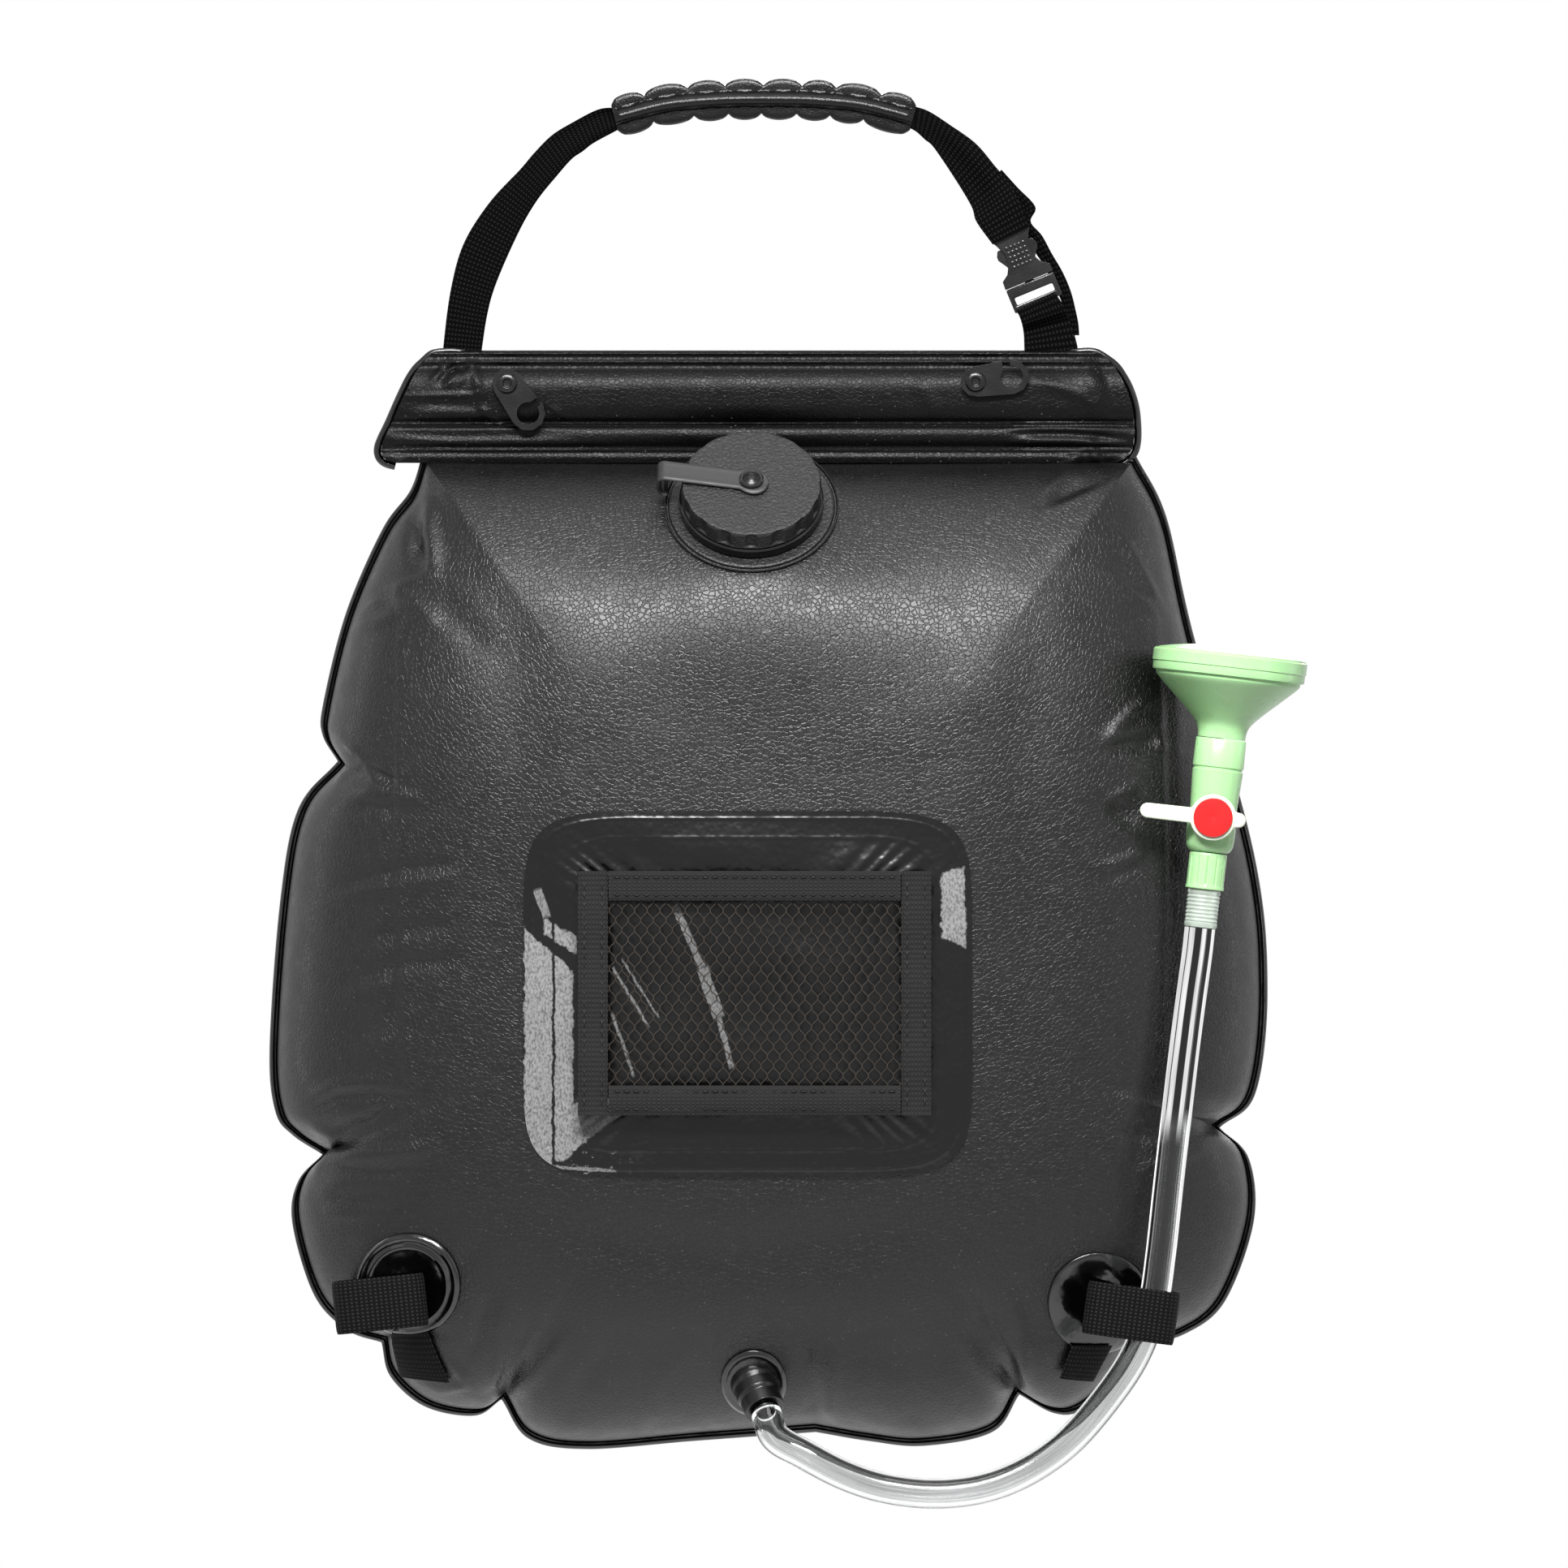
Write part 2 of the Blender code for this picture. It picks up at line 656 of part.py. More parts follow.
def make_header():
    """The flap above the bag: two sheets, a rod in the tunnel between them, and piping at its sides."""
    levels = HEADER_TOP - HEADER_HEIGHT * np.array([down for down, _ in HEADER_PROFILE_SHARES])
    left, right = header_edges(levels)
    turn = np.linspace(0, 1, HEADER_COLUMNS + 1)
    x = left[:, None] + (right - left)[:, None] * turn
    z = levels[:, None] + 0 * x
    out = header_depth(levels)[:, None] + 0 * x
    for name, side in (("header_front", -1), ("header_back", 1)):
        outer = np.stack([x, side * out, z], axis=-1)
        inner = np.stack([x, side * (out - WALL), z], axis=-1)
        sheet(name, outer, inner, "sheet")
    for name, edge, side in (("header_left_piping", left, -1), ("header_right_piping", right, 1)):
        near = edge + side * GAP
        far = near + side * PIPING_WIDTH
        ring = ((near, -PIPING_HALF), (far, -PIPING_HALF), (far, PIPING_HALF), (near, PIPING_HALF))
        corners = [np.stack([at, np.full_like(at, half), levels], axis=-1) for at, half in ring]
        loft(name, np.stack(corners, axis=1), "trim")
    around = np.arange(ROD_STEPS) * math.tau / ROD_STEPS
    middle = HEADER_TOP - HEADER_HEIGHT * ROD_SHARE
    y = (TUNNEL_DEPTH - WALL - GAP) * np.cos(around)
    z = middle + ROD_HALF_HEIGHT * np.sin(around)
    loops = [np.stack([np.full_like(y, end), y, z], axis=-1) for end in across(ROD_ENDS_PX)]
    loft("header_rod", np.stack(loops), "black_plastic")


def ribbon(name, first_edge, second_edge, depth, finish_name, end_round=False):
    """A flat strap facing the viewer between two edges, its middle plane at this depth. With end_round its
    last end is a half round about the header's hinge line."""
    first = smooth(first_edge, STRAP_STATIONS)
    second = smooth(second_edge, STRAP_STATIONS)
    half = np.full(STRAP_STATIONS, WEBBING / 2)
    if end_round:
        past = np.array([[0, -WEBBING / 2 * drop] for drop, _ in END_ROUND_SHARES[1:]])
        first = np.vstack([first, first[-1] + past])
        second = np.vstack([second, second[-1] + past])
        half = np.concatenate([half, [WEBBING / 2 * thick for _, thick in END_ROUND_SHARES[1:]]])
    loops = [
        np.stack([edge[:, 0], depth + side * half, edge[:, 1]], axis=-1)
        for edge, side in ((first, -1), (second, -1), (second, 1), (first, 1))
    ]
    loft(name, np.stack(loops, axis=1), finish_name)


def grip_line(count):
    """The middle line of the grip, an arch through its two ends and its middle."""
    return smooth(placed((GRIP_LEFT_PX, GRIP_MIDDLE_PX, GRIP_RIGHT_PX)), count)


def make_grip():
    """The soft grip: a round ridge with scalloped flaps above and below it, and a slot for the webbing."""
    line = grip_line(GRIP_STATIONS)
    along = np.gradient(line, axis=0)
    along /= np.linalg.norm(along, axis=1, keepdims=True)
    up = np.stack([-along[:, 1], along[:, 0]], axis=-1)
    turn = np.linspace(0, math.tau * GRIP_NOTCHES, GRIP_STATIONS)
    tall = GRIP_HALF_HEIGHT - NOTCH_DEPTH * (1 + np.cos(turn)) / 2

    def loops(levels, sides):
        at = line[:, None, :] + up[:, None, :] * levels[:, :, None]
        return np.stack([at[..., 0], sides + 0 * levels, at[..., 1]], axis=-1)

    outer = loops(tall[:, None] * np.array(GRIP_TALL_SHARES), GRIP_HALF_DEPTH * np.array(GRIP_SIDE_SHARES))
    slot_levels = (CORE_HALF_HEIGHT + 2 * GAP) * np.array(SLOT_TALL_SHARES) + 0 * tall[:, None]
    inner = loops(slot_levels, (WEBBING / 2 + GAP) * np.array(SLOT_SIDE_SHARES))
    sheet("grip_sleeve", outer, inner, "rubber", wrap=True)


def make_straps():
    """The handle webbing, with the buckle in its right side. The left strap runs on through the grip."""
    line = grip_line(GRIP_STATIONS)[:-1]
    along = np.gradient(line, axis=0)
    along /= np.linalg.norm(along, axis=1, keepdims=True)
    up = np.stack([-along[:, 1], along[:, 0]], axis=-1)
    outer = smooth(placed(LEFT_OUTER_PX), STRAP_STATIONS)[::-1]
    inner = smooth(placed(LEFT_INNER_PX), STRAP_STATIONS)[::-1]
    round_end = np.array(END_ROUND_SHARES[1:])
    past = np.stack([0 * round_end[:, 0], -WEBBING / 2 * round_end[:, 0]], axis=-1)[::-1]
    first = np.vstack([outer[0] + past, outer, line + up * CORE_HALF_HEIGHT])
    second = np.vstack([inner[0] + past, inner, line - up * CORE_HALF_HEIGHT])
    half = np.full(len(first), WEBBING / 2)
    half[: len(round_end)] *= round_end[::-1, 1]
    loops = [
        np.stack([edge[:, 0], side * half, edge[:, 1]], axis=-1)
        for edge, side in ((first, -1), (second, -1), (second, 1), (first, 1))
    ]
    loft("left_strap", np.stack(loops, axis=1), "webbing")
    end, before = grip_line(GRIP_STATIONS)[:-3:-1]
    way = (end - before) / np.linalg.norm(end - before)
    side = np.array([-way[1], way[0]]) * CORE_HALF_HEIGHT
    upper_left, upper_right = across_buckle(-GAP, UPPER_STRAP_HALF)
    lower_left, lower_right = across_buckle(PLUG_END + GAP, LOWER_STRAP_HALF)
    right_inner = np.vstack([end + way * GAP - side, placed(RIGHT_INNER_PX), upper_left])
    right_outer = np.vstack([end + way * GAP + side, placed(RIGHT_OUTER_PX), upper_right])
    ribbon("right_strap", right_inner, right_outer, 0, "webbing")
    lower_inner = np.vstack([lower_left, placed(LOWER_INNER_PX)])
    lower_outer = np.vstack([lower_right, placed(LOWER_OUTER_PX)])
    ribbon("lower_strap", lower_inner, lower_outer, 0, "webbing", end_round=True)
    set_back = SOCKET_HALF_DEPTH + GAP + WEBBING / 2
    ribbon("strap_tail", placed(TAIL_INNER_PX), placed(TAIL_OUTER_PX), set_back, "webbing")
    for name, edges in (("left_strap_anchor", (LEFT_OUTER_PX, LEFT_INNER_PX)),
                        ("right_strap_anchor", (LOWER_INNER_PX, LOWER_OUTER_PX))):
        left, right = sorted(float(placed(edge[-1])[0]) for edge in edges)
        outline = rectangle(left, HEADER_TOP - ANCHOR_LENGTH, right, HEADER_TOP)
        plate(name, outline, -WEBBING / 2, WEBBING / 2, "webbing", facing(0, 0, 0))


def buckle_place():
    x, z = placed(BUCKLE_TOP_PX)
    return facing(x, 0, z, BUCKLE_LEAN)


def across_buckle(down, half):
    """X and Z of the two points this far below the buckle's top and this far to each side of its axis."""
    spots = [buckle_place() @ Vector((side * half, -down, 0)) for side in (-1, 1)]
    return [np.array([spot.x, spot.z]) for spot in spots]


def buckle_cut(name, low, high, half_width, half_depth):
    """A cutter across the buckle, from low to high down its axis."""
    outline = rectangle(-half_width, -high, half_width, -low)
    return plate(name, outline, -half_depth, half_depth, "trim", buckle_place())


def make_buckle():
    """The side-release buckle: an hourglass socket, the plug with its ladder lock, and two spring prongs."""
    place = buckle_place()
    outline = [(half, -down) for down, half in SOCKET_OUTLINE]
    outline = [(-x, y) for x, y in outline][::-1] + outline
    socket = plate("buckle_socket", outline, -SOCKET_HALF_DEPTH, SOCKET_HALF_DEPTH, "black_plastic", place)
    cavity = SOCKET_HALF_DEPTH - SOCKET_WALL
    shape_with(socket, buckle_cut("socket_slot", BAR_SLOT_TOP, BAR_SLOT_BOTTOM, BAR_SLOT_HALF, OVERRUN))
    shape_with(socket, buckle_cut("socket_cavity", CAVITY_TOP, SOCKET_END + OVERRUN, CAVITY_HALF, cavity))
    base = rectangle(-PLUG_HALF, -PLUG_END, PLUG_HALF, -(SOCKET_END + GAP))
    plug = plate("buckle_plug", base, -SOCKET_HALF_DEPTH, SOCKET_HALF_DEPTH, "black_plastic", place)
    shape_with(plug, buckle_cut("ladder_slot", LADDER_TOP, LADDER_BOTTOM, LADDER_HALF, OVERRUN))
    tongue = buckle_cut("plug_tongue", TONGUE_TOP, SOCKET_END + BAR_SLOT_TOP, TONGUE_HALF, cavity - GAP)
    shape_with(plug, tongue, "UNION")
    length = PRONG_ROOT - PRONG_TOP
    tip = PRONG_TIP_HALF - PRONG_ROOT_HALF
    outline = (
        (0, 0),
        (-PRONG_WIDTH, 0),
        (-PRONG_WIDTH, length - PRONG_BARB),
        (tip - PRONG_BARB, length),
        (tip - PRONG_WIDTH / 2, length),
        (tip, length - PRONG_WIDTH),
        (tip, length - PRONG_BARB),
        (0, length - 2 * PRONG_BARB),
    )
    half = cavity - GAP
    for name, side in (("prong_left", -1), ("prong_right", 1)):
        root = place @ Matrix.Translation((side * PRONG_ROOT_HALF, -PRONG_ROOT, 0))
        plate(name, [(side * x, y) for x, y in outline], -half, half, "black_plastic", root)


def make_clips():
    """Two swivel hooks on the header, each between its rivet's head and a shoulder on the sheet."""
    top = np.linspace(0, math.pi, SMALL_STEPS // 2)
    eye = EYE_RADIUS * np.stack([np.cos(top), np.sin(top)], axis=-1)
    hook = HOOK_HALF * np.stack([-np.cos(top), -np.sin(top)], axis=-1) - np.array([0, HOOK_REACH])
    outline = np.vstack([eye, hook])
    clips = (("left", LEFT_CLIP_PX, LEFT_CLIP_TURN), ("right", RIGHT_CLIP_PX, RIGHT_CLIP_TURN))
    for side, pixels, turn in clips:
        x, z = placed(pixels)
        shoulder = TUNNEL_DEPTH + GAP
        low = shoulder + RIVET_CAP / 2
        place = facing(x, 0, z, turn)
        clip = plate(f"{side}_clip", outline, low + GAP, low + GAP + CLIP_THICKNESS, "black_plastic", place)
        hook_place = place @ Matrix.Translation((0, -HOOK_REACH, 0))
        eye_hole = rod_profile(RIVET_SHANK + GAP, 0, OVERRUN)
        hook_hole = rod_profile(HOOK_HALF - HOOK_BAR, 0, OVERRUN)
        shape_with(clip, turned(f"{side}_eye_cut", eye_hole, "trim", place))
        shape_with(clip, turned(f"{side}_hook_cut", hook_hole, "trim", hook_place))
        mouth = rectangle(0, -HOOK_REACH, OVERRUN, -HOOK_REACH + HOOK_MOUTH)
        shape_with(clip, plate(f"{side}_mouth_cut", mouth, 0, OVERRUN, "trim", place))
        top_of_clip = low + CLIP_THICKNESS + 2 * GAP
        profile = (
            (0, top_of_clip + RIVET_CAP),
            (RIVET_HEAD * RIVET_TOP_SHARE, top_of_clip + RIVET_CAP),
            (RIVET_HEAD, top_of_clip + RIVET_CAP / 2),
            (RIVET_HEAD, top_of_clip),
            (RIVET_SHANK, top_of_clip),
            (RIVET_SHANK, low),
            (RIVET_HEAD, low),
            (RIVET_HEAD, shoulder),
            (0, shoulder),
        )
        turned(f"{side}_clip_rivet", profile, "black_plastic", place, SMALL_STEPS)


def ribbed_circle(radius, depth, ribs):
    """The outline of a round piece with this many shallow ribs round it."""
    around = np.arange(ribs * GRIP_POINTS) * math.tau / (ribs * GRIP_POINTS)
    edge = radius - depth * (1 + np.cos(around * ribs)) / 2
    return np.stack([edge * np.cos(around), edge * np.sin(around)], axis=-1)


def neck_place():
    """The filler's axis: local Z runs out of the bag, towards the viewer and up."""
    return Matrix.Translation((NECK_X, NECK_Y, NECK_Z)) @ Matrix.Rotation(math.pi / 2 - NECK_TILT, 4, "X")


def make_filler():
    """The welded flange and its threaded neck, and the screw cap with its gasket and tether."""
    place = neck_place()
    flange_top = GAP + FLANGE_THICKNESS
    turned("filler_flange", ring_profile(NECK_RADIUS + GAP, FLANGE_RADIUS, GAP, flange_top), "trim", place)
    collar = flange_top + GAP
    neck = (
        (NECK_RADIUS, NECK_RISE),
        (NECK_RADIUS, collar + COLLAR_HEIGHT),
        (COLLAR_RADIUS, collar + COLLAR_HEIGHT),
        (COLLAR_RADIUS, collar),
        (NECK_RADIUS, collar),
        (NECK_RADIUS, -NECK_INSIDE),
        (NECK_BORE, -NECK_INSIDE),
        (NECK_BORE, NECK_RISE),
    )
    turned("filler_neck", neck, "black_plastic", place)
    skirt_foot = collar + COLLAR_HEIGHT + GAP
    gasket_foot = NECK_RISE + GAP
    cap_inside = gasket_foot + GASKET + GAP
    gasket = ring_profile(NECK_BORE, CAP_INNER - GAP, gasket_foot, gasket_foot + GASKET)
    turned("cap_gasket", gasket, "rubber", place)
    cap_top = cap_inside + CAP_TOP
    outline = ribbed_circle(CAP_RADIUS, CAP_GRIP_DEPTH, CAP_GRIPS)
    cap = plate("filler_cap", outline, skirt_foot, cap_top, "black_plastic", place)
    shape_with(cap, turned("cap_inside_cut", rod_profile(CAP_INNER, -OVERRUN, cap_inside), "trim", place))
    pin_hole = rod_profile(TETHER_RIVET / 2 + GAP, 0, OVERRUN)
    shape_with(cap, turned("cap_pin_cut", pin_hole, "trim", place))
    arm_low = cap_top + GAP
    arm_top = arm_low + TETHER_THICKNESS
    ring = np.linspace(-TETHER_OPEN, TETHER_OPEN, SMALL_STEPS)
    ring = TETHER_RING * np.stack([np.cos(ring), np.sin(ring)], axis=-1)
    arm = np.vstack([ring, [(-TETHER_REACH, TETHER_HALF), (-TETHER_REACH, -TETHER_HALF)]])
    tether = plate("cap_tether", arm, arm_low, arm_top, "black_plastic", place)
    leg = rectangle(-TETHER_REACH, -TETHER_HALF, -TETHER_REACH + TETHER_THICKNESS, TETHER_HALF)
    shape_with(tether, plate("tether_leg", leg, collar, arm_top, "trim", place), "UNION")
    shape_with(tether, turned("tether_cut", pin_hole, "trim", place))
    pin = (
        (0, arm_top + GAP + RIVET_CAP),
        (TETHER_RIVET, arm_top + GAP + RIVET_CAP / 2),
        (TETHER_RIVET, arm_top + GAP),
        (TETHER_RIVET / 2, arm_top + GAP),
        (TETHER_RIVET / 2, cap_inside + GAP),
        (0, cap_inside + GAP),
    )
    turned("tether_rivet", pin, "black_plastic", place, SMALL_STEPS)


def make_window():
    """The clear film over the front: a rounded rectangle that follows the panel."""
    left, top = placed(WINDOW_LEFT_TOP_PX)
    right, bottom = placed(WINDOW_RIGHT_BOTTOM_PX)
    turn = np.arange(WINDOW_STEPS) * math.tau / WINDOW_STEPS
    power = 2 / WINDOW_SQUARENESS
    unit_x = np.sign(np.cos(turn)) * np.abs(np.cos(turn)) ** power
    unit_z = np.sign(np.sin(turn)) * np.abs(np.sin(turn)) ** power
    shares = np.array(WINDOW_RINGS_SHARES)[:, None]
    x = (left + right) / 2 + shares * unit_x * (right - left) / 2
    z = (top + bottom) / 2 + shares * unit_z * (top - bottom) / 2
    sheet("window_film", on_front(x, z, SEAT + FILM), on_front(x, z, SEAT), "film", True, True)


def pocket_edges():
    left, top = placed(POCKET_LEFT_TOP_PX)
    right, bottom = placed(POCKET_RIGHT_BOTTOM_PX)
    return float(left), float(right), float(bottom), float(top)


NET_BACK = -(BAG_DEPTH / 2 + SEAT + FILM + POCKET_STAND)
NET_FRONT = NET_BACK - NET_THICKNESS
BINDING_BACK = NET_FRONT - GAP
BINDING_FRONT = BINDING_BACK - BINDING_THICKNESS


def binding_side(name, x_out, x_in, z_low, z_high):
    """A side binding: a strip in front of the net, with a gusset from its outer edge back to the film."""
    z = np.linspace(z_low, z_high, HEADER_COLUMNS)
    wall = x_out + math.copysign(GUSSET, x_in - x_out)
    back = front(np.full_like(z, x_out), z) - SEAT - FILM - GAP
    back = np.minimum(back, front(np.full_like(z, wall), z) - SEAT - FILM - GAP)
    level = np.full_like(z, 0)
    corners = ((x_out, level + BINDING_FRONT), (x_in, level + BINDING_FRONT), (x_in, level + BINDING_BACK),
               (wall, level + BINDING_BACK), (wall, back), (x_out, back))
    loops = [np.stack([np.full_like(z, x), y, z], axis=-1) for x, y in corners]
    loft(name, np.stack(loops, axis=1), "webbing")


def make_pocket():
    """The net pocket on the window: it stands off the film on its gussets and is open at the top."""
    left, right, bottom, top = pocket_edges()
    binding_side("binding_left", left, left + BINDING_WIDTH, bottom, top)
    binding_side("binding_right", right, right - BINDING_WIDTH, bottom, top)
    inner_left, inner_right = left + BINDING_WIDTH + GAP, right - BINDING_WIDTH - GAP
    bar = rectangle(inner_left, top - BINDING_WIDTH, inner_right, top)
    plate("binding_top", bar, -BINDING_BACK, -BINDING_FRONT, "webbing", facing(0, 0, 0))
    x = np.linspace(inner_left, inner_right, HEADER_COLUMNS)
    low = np.full_like(x, bottom)
    back = np.minimum(front(x, low), front(x, low + GUSSET)) - SEAT - FILM - GAP
    level = np.full_like(x, 0)
    corners = ((low, level + BINDING_FRONT), (low + BINDING_WIDTH, level + BINDING_FRONT),
               (low + BINDING_WIDTH, level + BINDING_BACK), (low + GUSSET, level + BINDING_BACK),
               (low + GUSSET, back), (low, back))
    loft("binding_bottom", np.stack([np.stack([x, y, z], axis=-1) for z, y in corners], axis=1), "webbing")
    net_box = (inner_left - NET_TUCK, inner_right + NET_TUCK, bottom + BINDING_WIDTH - NET_TUCK,
               top - BINDING_WIDTH + NET_TUCK)
    make_net(*net_box)


def make_net(left, right, bottom, top):
    """A flat net: threads along both diagonals cross at knots, and each diamond between them is a gap."""
    step_x = (right - left) / (2 * NET_COLUMNS)
    step_z = (top - bottom) / (2 * NET_ROWS)
    spots = {}
    points = []
    faces = []

    def corner(a, b):
        if (a, b) not in spots:
            spots[a, b] = len(points)
            points.append((left + a * step_x, NET_FRONT, bottom + b * step_z))
            points.append((left + a * step_x, NET_BACK, bottom + b * step_z))
        return spots[a, b]

    for a in range(2 * NET_COLUMNS + 1):
        for b in range(2 * NET_ROWS + 1):
            if (a + b) % 2:
                continue
            around = [(a + 1, b), (a, b + 1), (a - 1, b), (a, b - 1)]
            inside = [0 <= p <= 2 * NET_COLUMNS and 0 <= q <= 2 * NET_ROWS for p, q in around]
            if all(inside):
                knots = [corner(*spot) for spot in around]
                share = NET_HOLE_SHARE
                hole = [corner(a + (p - a) * share, b + (q - b) * share) for p, q in around]
                for k in range(4):
                    n = (k + 1) % 4
                    faces.append([knots[k], knots[n], hole[n], hole[k]])
                    faces.append([hole[k] + 1, hole[n] + 1, knots[n] + 1, knots[k] + 1])
                    faces.append([hole[k], hole[n], hole[n] + 1, hole[k] + 1])
                continue
            known = [corner(*spot) for spot, is_in in zip(around, inside) if is_in]
            if len(known) == 2:
                known.append(corner(a, b))
            faces.append(known)
            faces.append([k + 1 for k in known[::-1]])
    rim = [(a, 0) for a in range(2 * NET_COLUMNS)]
    rim += [(2 * NET_COLUMNS, b) for b in range(2 * NET_ROWS)]
    rim += [(a, 2 * NET_ROWS) for a in range(2 * NET_COLUMNS, 0, -1)]
    rim += [(0, b) for b in range(2 * NET_ROWS, 0, -1)]
    rim = [spots[spot] for spot in rim if spot in spots]
    for k, n in zip(rim, rim[1:] + rim[:1]):
        faces.append([k, k + 1, n + 1, n])
    add("pocket_net", from_faces(points, faces), "net")


PATCH_RADIUS = BODY_HEIGHT * PATCH_SHARE


def disc_on_front(name, pixels, radius, finish_name):
    """A round patch that follows the panel."""
    x, z = placed(pixels)
    turn = np.arange(PATCH_STEPS) * math.tau / PATCH_STEPS
    shares = np.array(PATCH_RINGS_SHARES)[:, None]
    x = x + shares * radius * np.cos(turn)
    z = z + shares * radius * np.sin(turn)
    return sheet(name, on_front(x, z, SEAT + PATCH), on_front(x, z, SEAT), finish_name, True, True)


def loop_depth(x, z, lean):
    """Y of a hose loop's middle, so that its rounded back just clears the patch behind it."""
    offsets = np.linspace(-LOOP_HALF_WIDTH, LOOP_HALF_WIDTH, LOOP_STEPS)
    past = np.maximum(np.abs(offsets) - (LOOP_HALF_WIDTH - LOOP_HALF_DEPTH), 0)
    behind = np.sqrt(LOOP_HALF_DEPTH**2 - past**2)
    found = []
    for end in (-LOOP_HEIGHT / 2, LOOP_HEIGHT / 2):
        at_x = x + offsets * math.cos(lean) + end * math.sin(lean)
        at_z = z - offsets * math.sin(lean) + end * math.cos(lean)
        stands = out_share(at_x, at_z) < 1
        found.append((on_front(at_x[stands], at_z[stands], 2 * SEAT + PATCH)[:, 1] - behind[stands]).min())
    return min(found)


def make_loop(name, pixels, lean, y):
    """A band of webbing standing as a flat ring, open at both ends for the hose, with its middle at y."""
    x, z = placed(pixels)
    step = math.tau / LOOP_STEPS
    turn = np.arange(LOOP_STEPS) * step + step / 2
    straight = LOOP_HALF_WIDTH - LOOP_HALF_DEPTH
    place = Matrix.Translation((x, y, z)) @ Matrix.Rotation(lean, 4, "Y")
    rows = []
    for half in (LOOP_HALF_DEPTH, LOOP_HALF_DEPTH - WEBBING):
        ring_x = half * np.cos(turn) + straight * np.sign(np.cos(turn))
        ring_y = half * np.sin(turn)
        ends = [np.stack([ring_x, ring_y, np.full_like(turn, level)], axis=-1)
                for level in (-LOOP_HEIGHT / 2, LOOP_HEIGHT / 2)]
        rows.append(np.stack(ends))
    made = sheet(name, rows[0], rows[1], "webbing", wrap=True)
    made.matrix_world = place


def strip_on_front(name, corners, stand):
    """A short strip of webbing on the panel, between four corners read from the photograph."""
    top_left, top_right, low_left, low_right = placed(corners)
    turn = np.linspace(0, 1, STRIP_POINTS)
    left = top_left + (low_left - top_left) * turn[:, None]
    right = top_right + (low_right - top_right) * turn[:, None]
    grid = left[:, None] + (right - left)[:, None] * turn[None, :, None]
    x, z = grid[..., 0], grid[..., 1]
    sheet(name, on_front(x, z, stand + WEBBING), on_front(x, z, stand), "webbing")


def make_corners():
    """The two bottom corners: a welded patch, a hose loop and a short strap on each."""
    disc_on_front("left_corner_patch", LEFT_PATCH_PX, PATCH_RADIUS, "trim")
    disc_on_front("right_corner_patch", RIGHT_PATCH_PX, PATCH_RADIUS, "webbing")
    left_depth = loop_depth(*placed(LEFT_LOOP_PX), LEFT_LOOP_LEAN)
    make_loop("left_hose_loop", LEFT_LOOP_PX, LEFT_LOOP_LEAN, left_depth)
    make_loop("right_hose_loop", RIGHT_LOOP_PX, RIGHT_LOOP_LEAN, -LOOP_DEPTH)
    strip_on_front("left_corner_strap", LEFT_STRAP_PX, 2 * GAP)
    strip_on_front("right_corner_strap", RIGHT_STRAP_PX, STRIP_SEAT)


def outlet_place():
    x, z = placed(OUTLET_PX)
    y = float(front(x, z))
    return Matrix.Translation((x, y, z)) @ SPOUT_AXIS.to_track_quat("Z", "Y").to_matrix().to_4x4()


def outlet_cut(name):
    """A cutter along the spout, with clearance round it."""
    return turned(name, rod_profile(SPOUT_RADIUS + GAP, -OVERRUN, OVERRUN), "trim", outlet_place())


def make_outlet():
    """The welded flange, the spout through it, and the barbed insert that the hose is pushed onto."""
    flange = disc_on_front("outlet_flange", OUTLET_PX, OUTLET_FLANGE, "trim")
    shape_with(flange, outlet_cut("flange_outlet_cut"))
    place = outlet_place()
    spout = (
        (SPOUT_TIP_RADIUS, SPOUT_LENGTH),
        (SPOUT_TIP_RADIUS, SPOUT_STEP),
        (SPOUT_RADIUS, SPOUT_SHOULDER),
        (SPOUT_RADIUS, -SPOUT_INSIDE),
        (SPOUT_BORE, -SPOUT_INSIDE),
        (SPOUT_BORE, SPOUT_LENGTH),
    )
    turned("outlet_spout", spout, "black_plastic", place)
    barb = ring_profile(BARB_BORE, BARB_RADIUS, -SPOUT_INSIDE, SPOUT_LENGTH + BARB_SHOW)
    turned("outlet_barb", barb, "black_plastic", place, SMALL_STEPS)


def head_place():
    x, z = placed(HEAD_PX)
    return Matrix.Translation((x, -HEAD_DEPTH, z)) @ Matrix.Rotation(HEAD_LEAN, 4, "Y")


